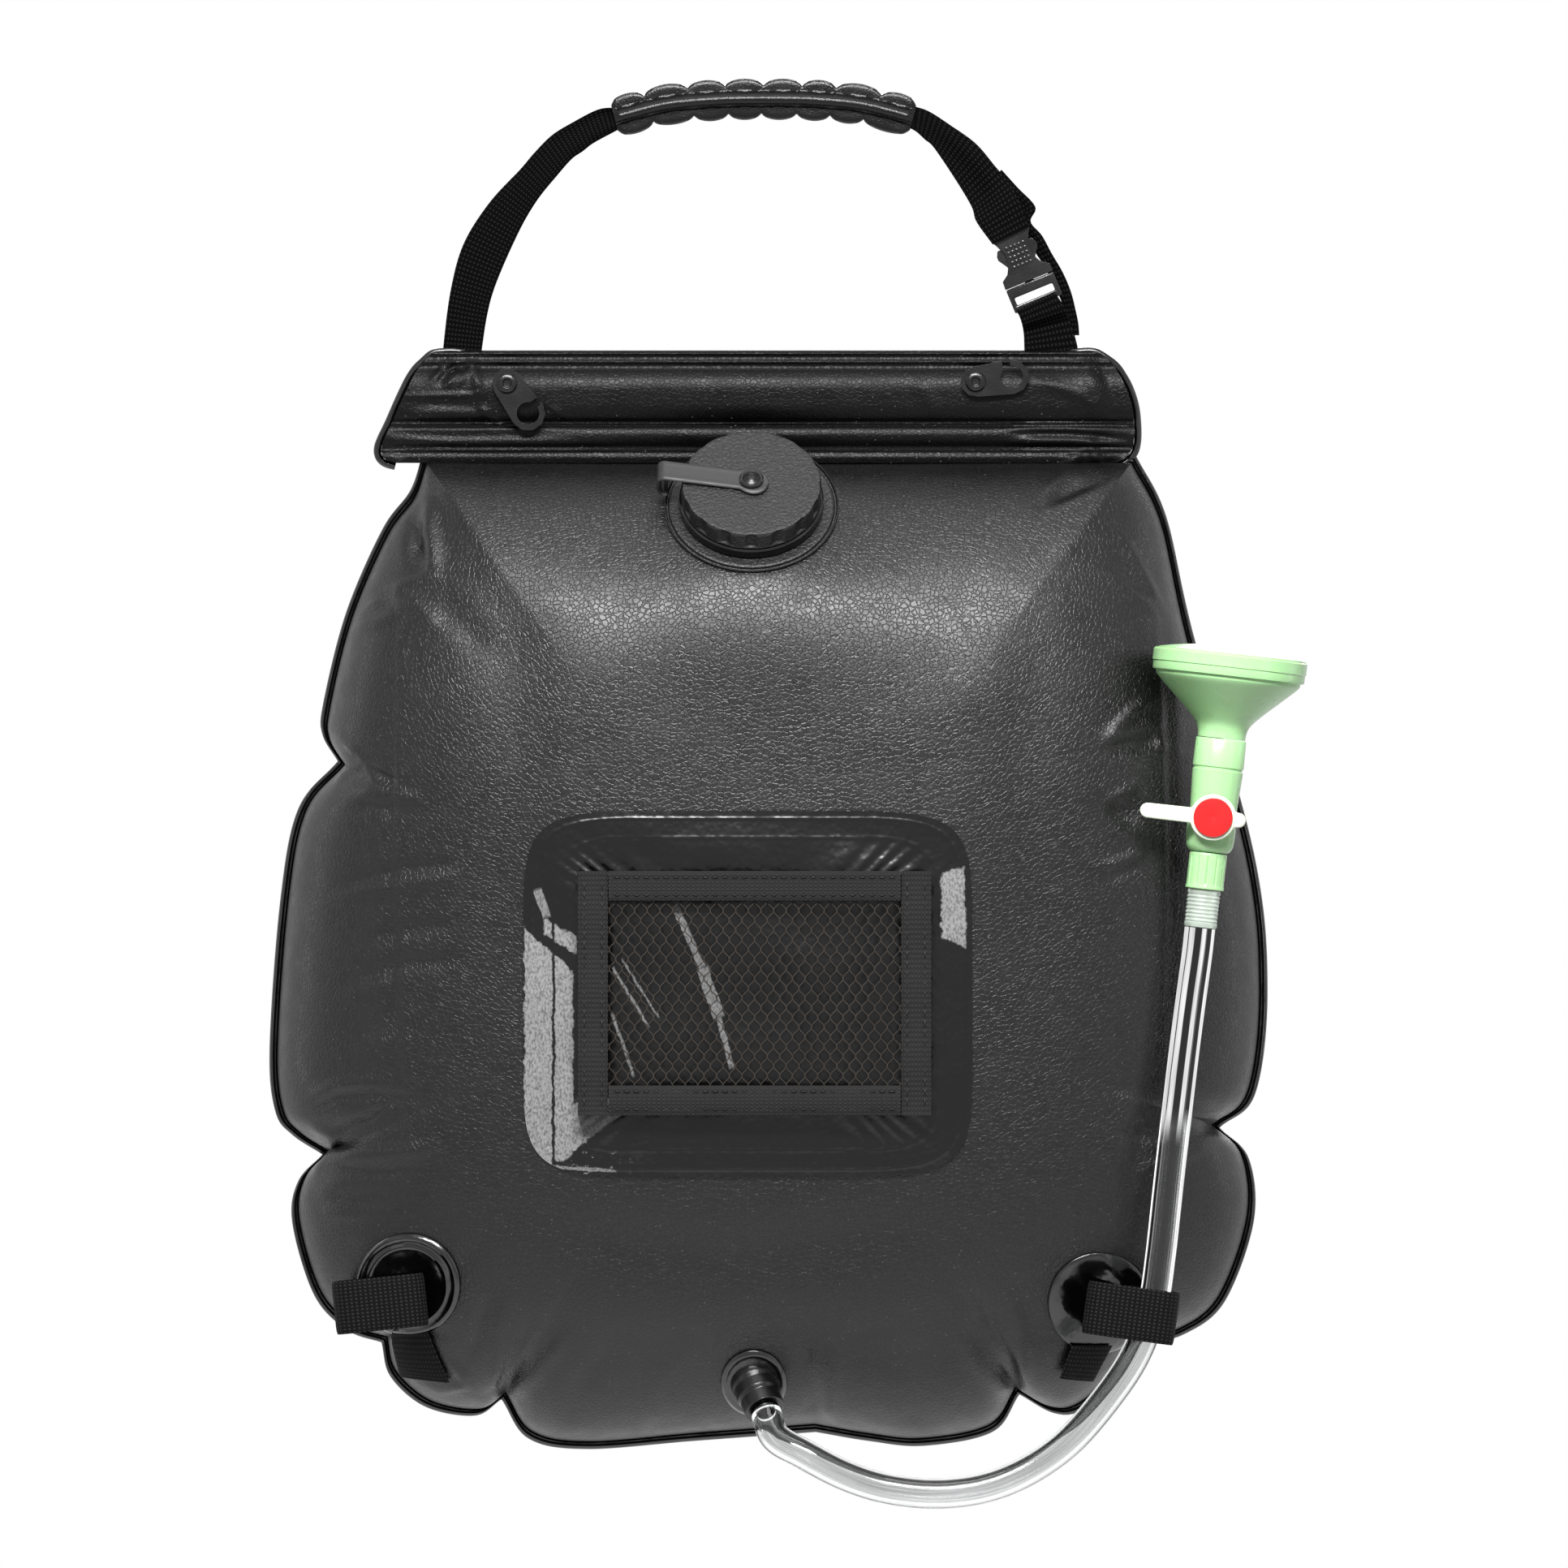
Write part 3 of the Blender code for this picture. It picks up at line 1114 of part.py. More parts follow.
def make_head():
    """The shower head on the hose's end: ferrule, sleeve, valve with plug and lever, funnel, plate."""
    place = head_place()
    ferrule = ring_profile(FERRULE_BORE, FERRULE_RADIUS, 0, FERRULE_LENGTH)
    turned("hose_ferrule", ferrule, "clear_ferrule", place)
    sleeve_low = FERRULE_LENGTH + GAP
    sleeve_top = sleeve_low + SLEEVE_LENGTH
    outline = ribbed_circle(SLEEVE_RADIUS, SLEEVE_RIB_DEPTH, SLEEVE_RIBS)
    sleeve = plate("coupling_sleeve", outline, sleeve_low, sleeve_top, "green_plastic", place)
    bore = rod_profile(FERRULE_BORE, 0, OVERRUN + SLEEVE_LENGTH)
    shape_with(sleeve, turned("sleeve_bore_cut", bore, "trim", place, SMALL_STEPS))
    valve_low = sleeve_top + GAP
    valve_top = valve_low + VALVE_LENGTH
    body = (
        (VALVE_TOP_RADIUS, valve_top),
        (VALVE_RADIUS, valve_top - VALVE_CUP_LENGTH),
        (VALVE_NECK_RADIUS, valve_low + VALVE_CUP_LENGTH),
        (VALVE_CUP_RADIUS, valve_low + VALVE_ROUNDING),
        (VALVE_FOOT_RADIUS, valve_low),
        (VALVE_BORE, valve_low),
        (VALVE_BORE, valve_top),
    )
    valve = turned("valve_body", body, "green_plastic", place)
    hub = place @ Matrix.Translation((0, 0, valve_low + HUB_HEIGHT)) @ Matrix.Rotation(math.pi / 2, 4, "X")
    cavity = rod_profile(PLUG_RADIUS + GAP, -PLUG_BACK - GAP, OVERRUN)
    shape_with(valve, turned("plug_cavity_cut", cavity, "trim", hub))
    plug_front = VALVE_RADIUS + GAP
    plug = turned("valve_plug", rod_profile(PLUG_RADIUS, -PLUG_BACK, plug_front), "cream_plastic", hub)
    across_flow = hub @ Matrix.Rotation(math.pi / 2, 4, "Y")
    hole = rod_profile(PLUG_HOLE, -OVERRUN, OVERRUN)
    shape_with(plug, turned("plug_hole_cut", hole, "trim", across_flow, SMALL_STEPS))
    lever_low = plug_front + GAP
    lever_top = lever_low + LEVER_THICKNESS
    arm = math.asin(LEVER_HALF / LEVER_HUB)
    right = np.linspace(math.pi + arm, math.tau - arm, SMALL_STEPS // 2)
    left = np.linspace(arm, math.pi - arm, SMALL_STEPS // 2)
    arcs = [LEVER_HUB * np.stack([np.cos(turn), np.sin(turn)], axis=-1) for turn in (right, left)]
    tail = [(LEVER_TAIL, -LEVER_HALF), (LEVER_TAIL, LEVER_HALF)]
    tip = [
        (-LEVER_REACH + LEVER_HALF, LEVER_HALF),
        (-LEVER_REACH, LEVER_HALF / 2),
        (-LEVER_REACH, -LEVER_HALF / 2),
        (-LEVER_REACH + LEVER_HALF, -LEVER_HALF),
    ]
    outline = np.vstack([arcs[0], tail, arcs[1], tip])
    plate("valve_lever", outline, lever_low, lever_top, "cream_plastic", hub)
    disc = rod_profile(DISC_RADIUS, lever_top + GAP, lever_top + GAP + DISC_THICKNESS)
    turned("lever_disc", disc, "red_plastic", hub)
    make_funnel(place @ Matrix.Translation((0, 0, valve_top + GAP)))


def make_funnel(place):
    """The hollow funnel with its stepped rim, and the domed spray plate seated in the rim."""
    rim_low = FUNNEL_CONE
    rim_top = FUNNEL_CONE + FUNNEL_RIM_HEIGHT
    funnel = (
        (FUNNEL_RIM, rim_top),
        (FUNNEL_RIM, rim_low + FUNNEL_WALL),
        (FUNNEL_RIM - FUNNEL_WALL, rim_low),
        (FUNNEL_WAIST, FUNNEL_WAIST_HEIGHT),
        (FUNNEL_NECK, 0),
        (VALVE_BORE, 0),
        (FUNNEL_WAIST - FUNNEL_WALL, FUNNEL_WAIST_HEIGHT + FUNNEL_WALL),
        (FUNNEL_RIM - 2 * FUNNEL_WALL, rim_low + FUNNEL_WALL),
        (FUNNEL_RIM - FUNNEL_WALL, rim_top - PLATE_THICKNESS),
        (FUNNEL_RIM - FUNNEL_WALL, rim_top),
    )
    turned("shower_funnel", funnel, "green_plastic", place, FUNNEL_STEPS)
    edge = FUNNEL_RIM - FUNNEL_WALL - GAP
    foot = rim_top - PLATE_THICKNESS + GAP
    spray = (
        (0, foot + PLATE_THICKNESS + PLATE_DOME),
        (edge * DOME_REACH_SHARE, foot + PLATE_THICKNESS + PLATE_DOME * DOME_RISE_SHARE),
        (edge, foot + PLATE_THICKNESS),
        (edge, foot),
        (edge * DOME_REACH_SHARE, foot + PLATE_DOME * DOME_RISE_SHARE),
        (0, foot + PLATE_DOME),
    )
    turned("spray_plate", spray, "green_plastic", place, FUNNEL_STEPS)


def make_hose():
    """The clear hose, from the spout's end to the ferrule, on one smooth curve through its route."""
    start = outlet_place() @ Vector((0, 0, SPOUT_LENGTH + BARB_SHOW + GAP))
    straight = outlet_place() @ Vector((0, 0, SPOUT_LENGTH + BARB_SHOW + 2 * HOSE_RADIUS))
    end = head_place() @ Vector((0, 0, -GAP))
    before = head_place() @ Vector((0, 0, -2 * HOSE_RADIUS))
    points = smooth([start, straight, *HOSE_ROUTE, before, end], HOSE_POINTS)
    print("hose length", np.linalg.norm(np.diff(points, axis=0), axis=1).sum())
    curve = bpy.data.curves.new("hose", "CURVE")
    curve.dimensions = "3D"
    curve.bevel_depth = HOSE_RADIUS
    curve.bevel_resolution = 2
    curve.use_fill_caps = True
    line = curve.splines.new("POLY")
    line.points.add(len(points) - 1)
    for spot, point in zip(line.points, points.tolist()):
        spot.co = (*point, 1)
    curve.materials.append(finish("hose", "clear_tube"))
    bpy.context.collection.objects.link(bpy.data.objects.new("hose", curve))


def make_fold():
    """An empty on the line where the handle folds, with every piece of the bag and its hose under it."""
    place = Matrix.Translation((0, 0, HINGE_Z))
    fold = bpy.data.objects.new("handle_fold", None)
    for piece in list(bpy.data.objects):
        if piece != fold and piece.name not in HANDLE_PIECES:
            piece.parent = fold
            piece.matrix_parent_inverse = place.inverted()
    bpy.context.collection.objects.link(fold)
    fold.matrix_world = place


def main():
    for old in list(bpy.data.objects):
        bpy.data.objects.remove(old)
    make_grip()
    make_straps()
    make_buckle()
    make_panels()
    make_seam_piping()
    make_header()
    make_clips()
    make_filler()
    make_window()
    make_pocket()
    make_corners()
    make_outlet()
    make_head()
    make_hose()
    make_fold()


main()
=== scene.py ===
# %% [markdown]
# # A camp shower bag, as photographed
#
# The bag hangs from a webbing handle. Its CAD frame gives every place and every joint, and this script
# dresses the frame: each piece is built as a surface from arrays of points, gets a procedural material
# and rides on the body that moves it.

# %% Load the frame
import json
import math

import bmesh
import bpy
import numpy as np
from mathutils import Matrix, Vector

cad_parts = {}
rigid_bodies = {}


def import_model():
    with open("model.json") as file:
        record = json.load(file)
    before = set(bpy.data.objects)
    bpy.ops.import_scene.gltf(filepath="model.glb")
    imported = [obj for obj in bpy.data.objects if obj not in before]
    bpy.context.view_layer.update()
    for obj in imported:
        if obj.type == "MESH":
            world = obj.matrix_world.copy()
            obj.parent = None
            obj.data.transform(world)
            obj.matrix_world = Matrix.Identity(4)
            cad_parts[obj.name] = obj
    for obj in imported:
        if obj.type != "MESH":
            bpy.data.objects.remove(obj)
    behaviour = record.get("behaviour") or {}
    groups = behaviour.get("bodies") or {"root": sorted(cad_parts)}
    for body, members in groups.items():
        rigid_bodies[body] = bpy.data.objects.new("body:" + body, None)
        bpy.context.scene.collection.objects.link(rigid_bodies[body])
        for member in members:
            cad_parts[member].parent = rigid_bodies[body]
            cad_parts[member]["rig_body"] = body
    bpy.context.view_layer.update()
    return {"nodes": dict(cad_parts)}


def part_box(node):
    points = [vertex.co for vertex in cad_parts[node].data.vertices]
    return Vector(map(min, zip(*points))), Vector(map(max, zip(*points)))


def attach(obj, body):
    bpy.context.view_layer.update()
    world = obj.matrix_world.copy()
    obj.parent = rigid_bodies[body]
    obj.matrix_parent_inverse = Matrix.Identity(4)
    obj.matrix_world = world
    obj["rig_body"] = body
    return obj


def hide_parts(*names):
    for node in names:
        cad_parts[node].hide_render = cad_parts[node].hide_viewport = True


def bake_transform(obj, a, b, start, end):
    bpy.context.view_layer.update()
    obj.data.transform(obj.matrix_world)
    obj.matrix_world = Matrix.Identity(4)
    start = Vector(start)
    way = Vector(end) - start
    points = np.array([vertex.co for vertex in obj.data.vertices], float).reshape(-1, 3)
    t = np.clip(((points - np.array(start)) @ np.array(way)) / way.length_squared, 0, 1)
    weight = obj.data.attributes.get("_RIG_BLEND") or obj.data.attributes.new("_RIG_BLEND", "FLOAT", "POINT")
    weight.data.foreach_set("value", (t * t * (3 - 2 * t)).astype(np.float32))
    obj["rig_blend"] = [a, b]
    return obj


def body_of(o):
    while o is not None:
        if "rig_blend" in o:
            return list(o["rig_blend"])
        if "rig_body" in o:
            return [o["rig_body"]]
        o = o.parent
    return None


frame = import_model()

# %% [markdown]
# The photograph is taken straight on with a long lens. Its columns and rows therefore give X and Z
# directly, with the scale that the CAD model was built to. The functions below turn a reading into metres
# and back.

# %% Scale of the photograph
PX = 0.410 / 1230
ORIGIN_PX = 940
FRAME_PX = 1932
ROWS = (99, 150, 430, 563, 1783)
LEVELS = (0.0170, 0.0, -0.0935, -0.13775, -0.54575)
GAP = 0.0003
WEBBING = 0.0013
HINGE_Z = -0.0935
HEADER_TOP = HINGE_Z - WEBBING / 2 - GAP
HEADER_HEIGHT = 0.0430


def across(px):
    return PX * (np.asarray(px, float) - ORIGIN_PX)


def height(py):
    return np.interp(py, ROWS, LEVELS)


def column_of(x):
    """The column of the photograph at this X, of a number, an array or a wire."""
    return x / PX + ORIGIN_PX


def joined(*parts):
    """Arrays of coordinates as one array of points."""
    return np.stack(np.broadcast_arrays(*parts), axis=-1)


def spots(pixels):
    """X and Z of readings from the photograph."""
    pixels = np.asarray(pixels, float)
    return joined(across(pixels[..., 0]), height(pixels[..., 1]))


def facing(x, y, z, turn=0.0):
    """A place whose local X is across, local Y is up and local Z comes towards the viewer, turned by turn."""
    return (
        Matrix.Translation((x, y, z))
        @ Matrix.Rotation(math.radians(90), 4, "X")
        @ Matrix.Rotation(turn, 4, "Z")
    )


def put(points, place):
    """Points in a place's own directions, as points of the frame."""
    turn = np.array(place)
    return np.asarray(points, float) @ turn[:3, :3].T + turn[:3, 3]


# %% [markdown]
# The camera looks level along +Y from far away, centred on the middle of the picture, so that the 1932
# pixels of the photograph span 0.644 m at the bag.

# %% Camera
LENS = 600
SENSOR = 36
DISTANCE = FRAME_PX * PX * LENS / SENSOR
lens = bpy.data.cameras.new("camera")
lens.lens = LENS
camera = bpy.data.objects.new("camera", lens)
camera.location = (float(across(FRAME_PX / 2)), -DISTANCE, float(height(FRAME_PX / 2)))
camera.rotation_euler = (math.radians(90), 0, 0)
bpy.context.collection.objects.link(camera)
bpy.context.scene.camera = camera
bpy.context.scene.view_settings.view_transform = "Standard"
print("camera", round(DISTANCE, 2), "m away")

# %% [markdown]
# The black sheet only shows its form by what it mirrors, so one strong softbox stands above the front.
# Weak lamps stand overhead, at both sides and behind both edges, and one lights the back. The world is
# white for rays from the camera and for reflected and refracted ones, and nearly dark as a light.


# %% Studio
def lamp(name, place, target, size, power):
    """A rectangular soft light that points at its target."""
    light = bpy.data.lights.new(name, "AREA")
    light.shape = "RECTANGLE"
    light.size, light.size_y = size
    light.energy = power
    made = bpy.data.objects.new(name, light)
    made.location = place
    made.rotation_euler = (Vector(target) - Vector(place)).to_track_quat("-Z", "Y").to_euler()
    bpy.context.collection.objects.link(made)


MIDDLE = (0.0, -0.03, -0.30)
lamp("softbox", (-0.01, -1.46, 0.84), MIDDLE, (1.00, 0.34), 72)
lamp("overhead", (0.0, -0.45, 1.50), MIDDLE, (1.2, 0.5), 6)
lamp("left_lamp", (-1.7, -1.1, -0.1), MIDDLE, (0.3, 1.5), 2)
lamp("right_lamp", (1.7, -1.1, -0.1), MIDDLE, (0.3, 1.5), 4)
lamp("left_rim", (-1.5, 0.35, 0.0), MIDDLE, (0.16, 1.3), 3)
lamp("right_rim", (1.5, 0.35, 0.0), MIDDLE, (0.16, 1.3), 2.5)
lamp("back_fill", (0.3, 2.2, 0.9), MIDDLE, (1.6, 1.0), 34)

world = bpy.data.worlds.new("studio")
bpy.context.scene.world = world
world.use_nodes = True
tree = world.node_tree
seen = tree.nodes.new("ShaderNodeLightPath")
sky = tree.nodes["Background"]
sky.inputs["Color"].default_value = (1, 1, 1, 1)
either = tree.nodes.new("ShaderNodeMath")
either.operation = "MAXIMUM"
tree.links.new(seen.outputs["Is Camera Ray"], either.inputs[0])
tree.links.new(seen.outputs["Is Transmission Ray"], either.inputs[1])
clear = tree.nodes.new("ShaderNodeMath")
clear.operation = "MAXIMUM"
tree.links.new(either.outputs[0], clear.inputs[0])
tree.links.new(seen.outputs["Is Glossy Ray"], clear.inputs[1])
level = tree.nodes.new("ShaderNodeMapRange")
level.inputs["To Min"].default_value = 0.05
level.inputs["To Max"].default_value = 1.0
tree.links.new(clear.outputs[0], level.inputs["Value"])
tree.links.new(level.outputs[0], sky.inputs["Strength"])

# %% [markdown]
# Materials are written as sums. A `Wire` is a socket that sums can be written with, and a `Paint` is a
# material with one call that adds a node. Every texture reads object coordinates or a piece's own UV in
# metres, so that the scales below are real ones.


# %% Material helpers
class Wire:
    """A shader socket that takes part in sums, as a number does."""

    def __init__(self, paint, socket):
        self.paint = paint
        self.socket = socket

    def __add__(self, other):
        return self.paint.sum("ADD", self, other)

    def __sub__(self, other):
        return self.paint.sum("SUBTRACT", self, other)

    def __mul__(self, other):
        return self.paint.sum("MULTIPLY", self, other)

    def __truediv__(self, other):
        return self.paint.sum("DIVIDE", self, other)

    def __radd__(self, other):
        return self.paint.sum("ADD", other, self)

    def __rsub__(self, other):
        return self.paint.sum("SUBTRACT", other, self)

    def __rmul__(self, other):
        return self.paint.sum("MULTIPLY", other, self)

    def __rtruediv__(self, other):
        return self.paint.sum("DIVIDE", other, self)


def even(value):
    """Three equal numbers: a grey, or a scale that is the same in each direction."""
    return (value, value, value)


def four(colour):
    """A colour of three numbers with its alpha, or the wire that it already is."""
    return colour if isinstance(colour, Wire) else (*colour, 1.0)


class Paint:
    """A Principled material with short calls for the nodes that feed it."""

    def __init__(self, name, colour, roughness, **constants):
        self.material = bpy.data.materials.new(name)
        self.material.use_nodes = True
        self.tree = self.material.node_tree
        self.shader = self.tree.nodes["Principled BSDF"]
        self.feed("Base Color", (*colour, 1.0))
        self.feed("Roughness", roughness)
        for key, value in constants.items():
            self.feed(key.replace("_", " "), value)

    def link(self, socket, value):
        if isinstance(value, Wire):
            self.tree.links.new(value.socket, socket)
        else:
            socket.default_value = value

    def add(self, kind, settings, values, out=0):
        """A node of this kind: its settings are set first, then its inputs. One output is given back."""
        node = self.tree.nodes.new("ShaderNode" + kind)
        for key, value in settings.items():
            setattr(node, key, value)
        for key, value in values.items():
            self.link(node.inputs[key], value)
        return Wire(self, node.outputs[out])

    def feed(self, name, value):
        self.link(self.shader.inputs[name], value)

    def sum(self, operation, first, second):
        return self.add("Math", {"operation": operation}, {0: first, 1: second})

    def where(self):
        return self.add("TexCoord", {}, {}, "Object")

    def on_cloth(self):
        return self.add("UVMap", {"uv_map": "metres"}, {})

    def split(self, vector, part):
        return self.add("SeparateXYZ", {}, {0: vector}, part)

    def stretched(self, vector, scale):
        return self.add("VectorMath", {"operation": "MULTIPLY"}, {0: vector, 1: scale})

    def noise(self, vector, scale, detail=2.0, roughness=0.5):
        return self.add("TexNoise", {}, {"Vector": vector, "Scale": scale, "Detail": detail,
                "Roughness": roughness})

    def cells(self, vector, scale, feature="F1"):
        return self.add("TexVoronoi", {"feature": feature}, {"Vector": vector, "Scale": scale})

    def between(self, value, low, high, start=0.0, end=1.0):
        values = {"Value": value, "From Min": low, "From Max": high, "To Min": start, "To Max": end}
        return self.add("MapRange", {"interpolation_type": "SMOOTHSTEP"}, values)

    def mix(self, share, first, second):
        settings = {"data_type": "RGBA"}
        return self.add("Mix", settings, {0: share, 6: four(first), 7: four(second)}, 2)

    def bump(self, level, depth, after=None):
        """A bump this deep in metres, on top of the one after which it comes."""
        values = {"Height": level, "Distance": depth, "Strength": 1.0}
        if after is not None:
            values["Normal"] = after
        made = self.add("Bump", {}, values)
        self.feed("Normal", made)
        return made


# %% [markdown]
# The sheet is a coated cloth with a leather-like pebble of about 2 mm. Its cells are a Voronoi texture,
# broken up by noise. Their valleys are painted darker, a painted shade, and scattered pale dots are painted
# highlights. Softer noise gives the hand-size unevenness of a flexible sheet. The trim is black and glossy.


# %% Sheet, trim and webbing
def make_sheet_paint(name, colour, roughness, relief_share=1.0, **constants):
    """Cells about 2 mm wide with a narrow valley between them, on a sheet with slow, shallow waves."""
    paint = Paint(name, colour, roughness, **constants)
    place = paint.where()
    warped = paint.add("VectorMath", {"operation": "ADD"}, {0: place, 1: paint.stretched(
        paint.add("TexNoise", {}, {"Vector": place, "Scale": 260.0, "Detail": 2.0}, 1), even(0.0022))})
    valley = paint.between(paint.cells(warped, 520.0, "DISTANCE_TO_EDGE"), 0.0, 0.17)
    wavy = paint.bump(paint.noise(place, 16.0, 2.0, 0.5), 0.00030)
    paint.bump(valley + paint.noise(place, 900.0, 2.0) * 0.4, 0.00018 * relief_share, wavy)
    patchy = paint.noise(place, 120.0, 2.0)
    paint.feed("Roughness", paint.between(patchy + valley * 0.2, 0.4, 0.9, roughness + 0.10, roughness))
    # Painted shade: the colour is darker in the valleys between the cells.
    cells = paint.mix(valley, even(0.0003), colour)
    # Painted highlights: scattered pale dots on the cells, where the patchy noise allows.
    painted_highlight_dots = paint.between(paint.cells(place, 330.0, "F1"), 0.15, 0.08) * paint.between(patchy, 0.47, 0.56)
    paint.feed("Base Color", paint.mix(painted_highlight_dots, cells, even(0.045)))
    return paint


def make_trim_paint():
    paint = Paint("black_trim", even(0.0010), 0.16)
    place = paint.where()
    paint.bump(paint.noise(place, 130.0, 2.0), 0.0005)
    paint.feed("Roughness", paint.between(paint.noise(place, 60.0, 2.0), 0.3, 0.7, 0.12, 0.26))
    return paint


def make_webbing_paint(name, low, high, shine):
    """Woven ribs across the band every 2 mm, crossed by rows of threads 1.5 mm apart along it."""
    paint = Paint(name, high, 0.80, Specular_IOR_Level=shine)
    cloth = paint.on_cloth()
    along = paint.split(cloth, "Y")
    side = paint.split(cloth, "X")
    ribs = paint.add("Math", {"operation": "SINE"}, {0: along * (math.tau / 0.0020)})
    threads = paint.add("Math", {"operation": "SINE"}, {0: side * (math.tau / 0.0015)})
    weave = ribs * threads * 0.4 + ribs * 0.35 + threads * 0.25
    fuzz = paint.noise(paint.where(), 2200.0, 2.0)
    paint.bump(weave + fuzz * 0.8, 0.00022)
    paint.feed("Base Color", paint.mix(paint.between(weave + fuzz, 0.2, 1.5), low, high))
    return paint


SHEET = make_sheet_paint("bag_sheet", even(0.0022), 0.33, 0.46, Specular_IOR_Level=0.34)
# The header's sheet is a darker, less shiny copy of the bag's sheet: painted shade on the header.
SHADED_HEADER_SHEET = make_sheet_paint("header_sheet_painted_shade", even(0.0012), 0.34, 0.3, Specular_IOR_Level=0.12)
TRIM = make_trim_paint()
CLOTH = make_webbing_paint("black_webbing", even(0.0003), even(0.0105), 0.03)
LOOPS = make_webbing_paint("loop_webbing", even(0.0006), even(0.024), 0.10)
FOLDED = make_webbing_paint("binding_webbing", even(0.007), even(0.014), 0.25)


# %% [markdown]
# The plastics differ in colour and gloss. Each gets a little mould grain and a slow change of roughness,
# which keeps a highlight from looking like a flat fill.


# %% Plastics, rubber, film and hose
def plastic(name, colour, roughness, grain=0.00003, **constants):
    paint = Paint(name, colour, roughness, **constants)
    place = paint.where()
    paint.bump(paint.noise(place, 1500.0, 3.0), grain)
    paint.feed("Roughness", paint.between(paint.noise(place, 90.0, 2.0), 0.3, 0.7, roughness * 0.85,
            roughness * 1.2))
    return paint


def grained_rubber():
    """Moulded rubber with a fine grain that also shows in its colour."""
    paint = Paint("flange_rubber", even(0.0045), 0.42, Specular_IOR_Level=0.40)
    grains = paint.noise(paint.where(), 750.0, 3.0, 0.6)
    paint.bump(grains, 0.0005)
    paint.feed("Base Color", paint.mix(paint.between(grains, 0.35, 0.70), even(0.0010), even(0.011)))
    paint.feed("Roughness", paint.between(grains, 0.3, 0.7, 0.50, 0.34))
    return paint


BLACK = plastic("black_plastic", even(0.0018), 0.26, 0.00008, Specular_IOR_Level=0.32)
RUBBER = plastic("black_rubber", even(0.0010), 0.26, 0.00012, Specular_IOR_Level=0.22)
GREEN = plastic("green_plastic", (0.385, 0.690, 0.325), 0.28, Subsurface_Weight=0.15,
                Subsurface_Scale=0.003)
RING = grained_rubber()
CREAM = plastic("cream_plastic", (0.680, 0.740, 0.610), 0.28, Subsurface_Weight=0.15,
                Subsurface_Scale=0.003)
RED = plastic("red_plastic", (0.590, 0.008, 0.009), 0.26)
SOFT = plastic("soft_black", even(0.012), 0.45, 0.00008)
THREAD = plastic("thread", even(0.004), 0.60, 0.00010, Specular_IOR_Level=0.25)
NET = plastic("net", (0.028, 0.023, 0.019), 0.70, 0.00010, Specular_IOR_Level=0.25)
FERRULE = plastic("clear_ferrule", (0.80, 0.88, 0.80), 0.22, 0.00005, Transmission_Weight=0.65, IOR=1.45)


# The film's pale patches, which are painted reflections. Each is cut out by half planes, given as a point of
# their edge in the photograph and the direction across, then down, in which the patch lies.
PAINTED_REFLECTION_PATCHES = (
    ((648, 1150, 1.0, 0.0), (708, 1200, -1.0, 0.0), (650, 1143, -0.66, 0.75), (690, 1428, -0.45, -0.89)),
    ((690, 1350, 1.0, 0.0), (700, 1356, 0.1, 1.0), (766, 1372, -0.58, -0.81)),
    ((672, 1150, 1.0, 0.1), (712, 1160, -1.0, 0.0), (692, 1141, -0.45, 0.89), (690, 1160, 0.5, -0.87)),
    ((1158, 1070, 1.0, 0.0), (1188, 1070, -1.0, 0.0), (1170, 1072, 0.3, 0.95), (1170, 1158, 0.4, -0.92)),
)
# Streaks of painted reflection on the film: two ends in pixels and a half width.
PAINTED_REFLECTION_STREAKS = (
    (833, 1116, 866, 1190, 5.0), (866, 1190, 886, 1250, 8.0), (886, 1250, 902, 1312, 4.0),
    (757, 1190, 800, 1262, 2.2),
    (756, 1246, 782, 1322, 2.6), (768, 1180, 812, 1250, 1.8), (664, 1095, 676, 1128, 6.0),
    (660, 1432, 760, 1438, 2.6),
)


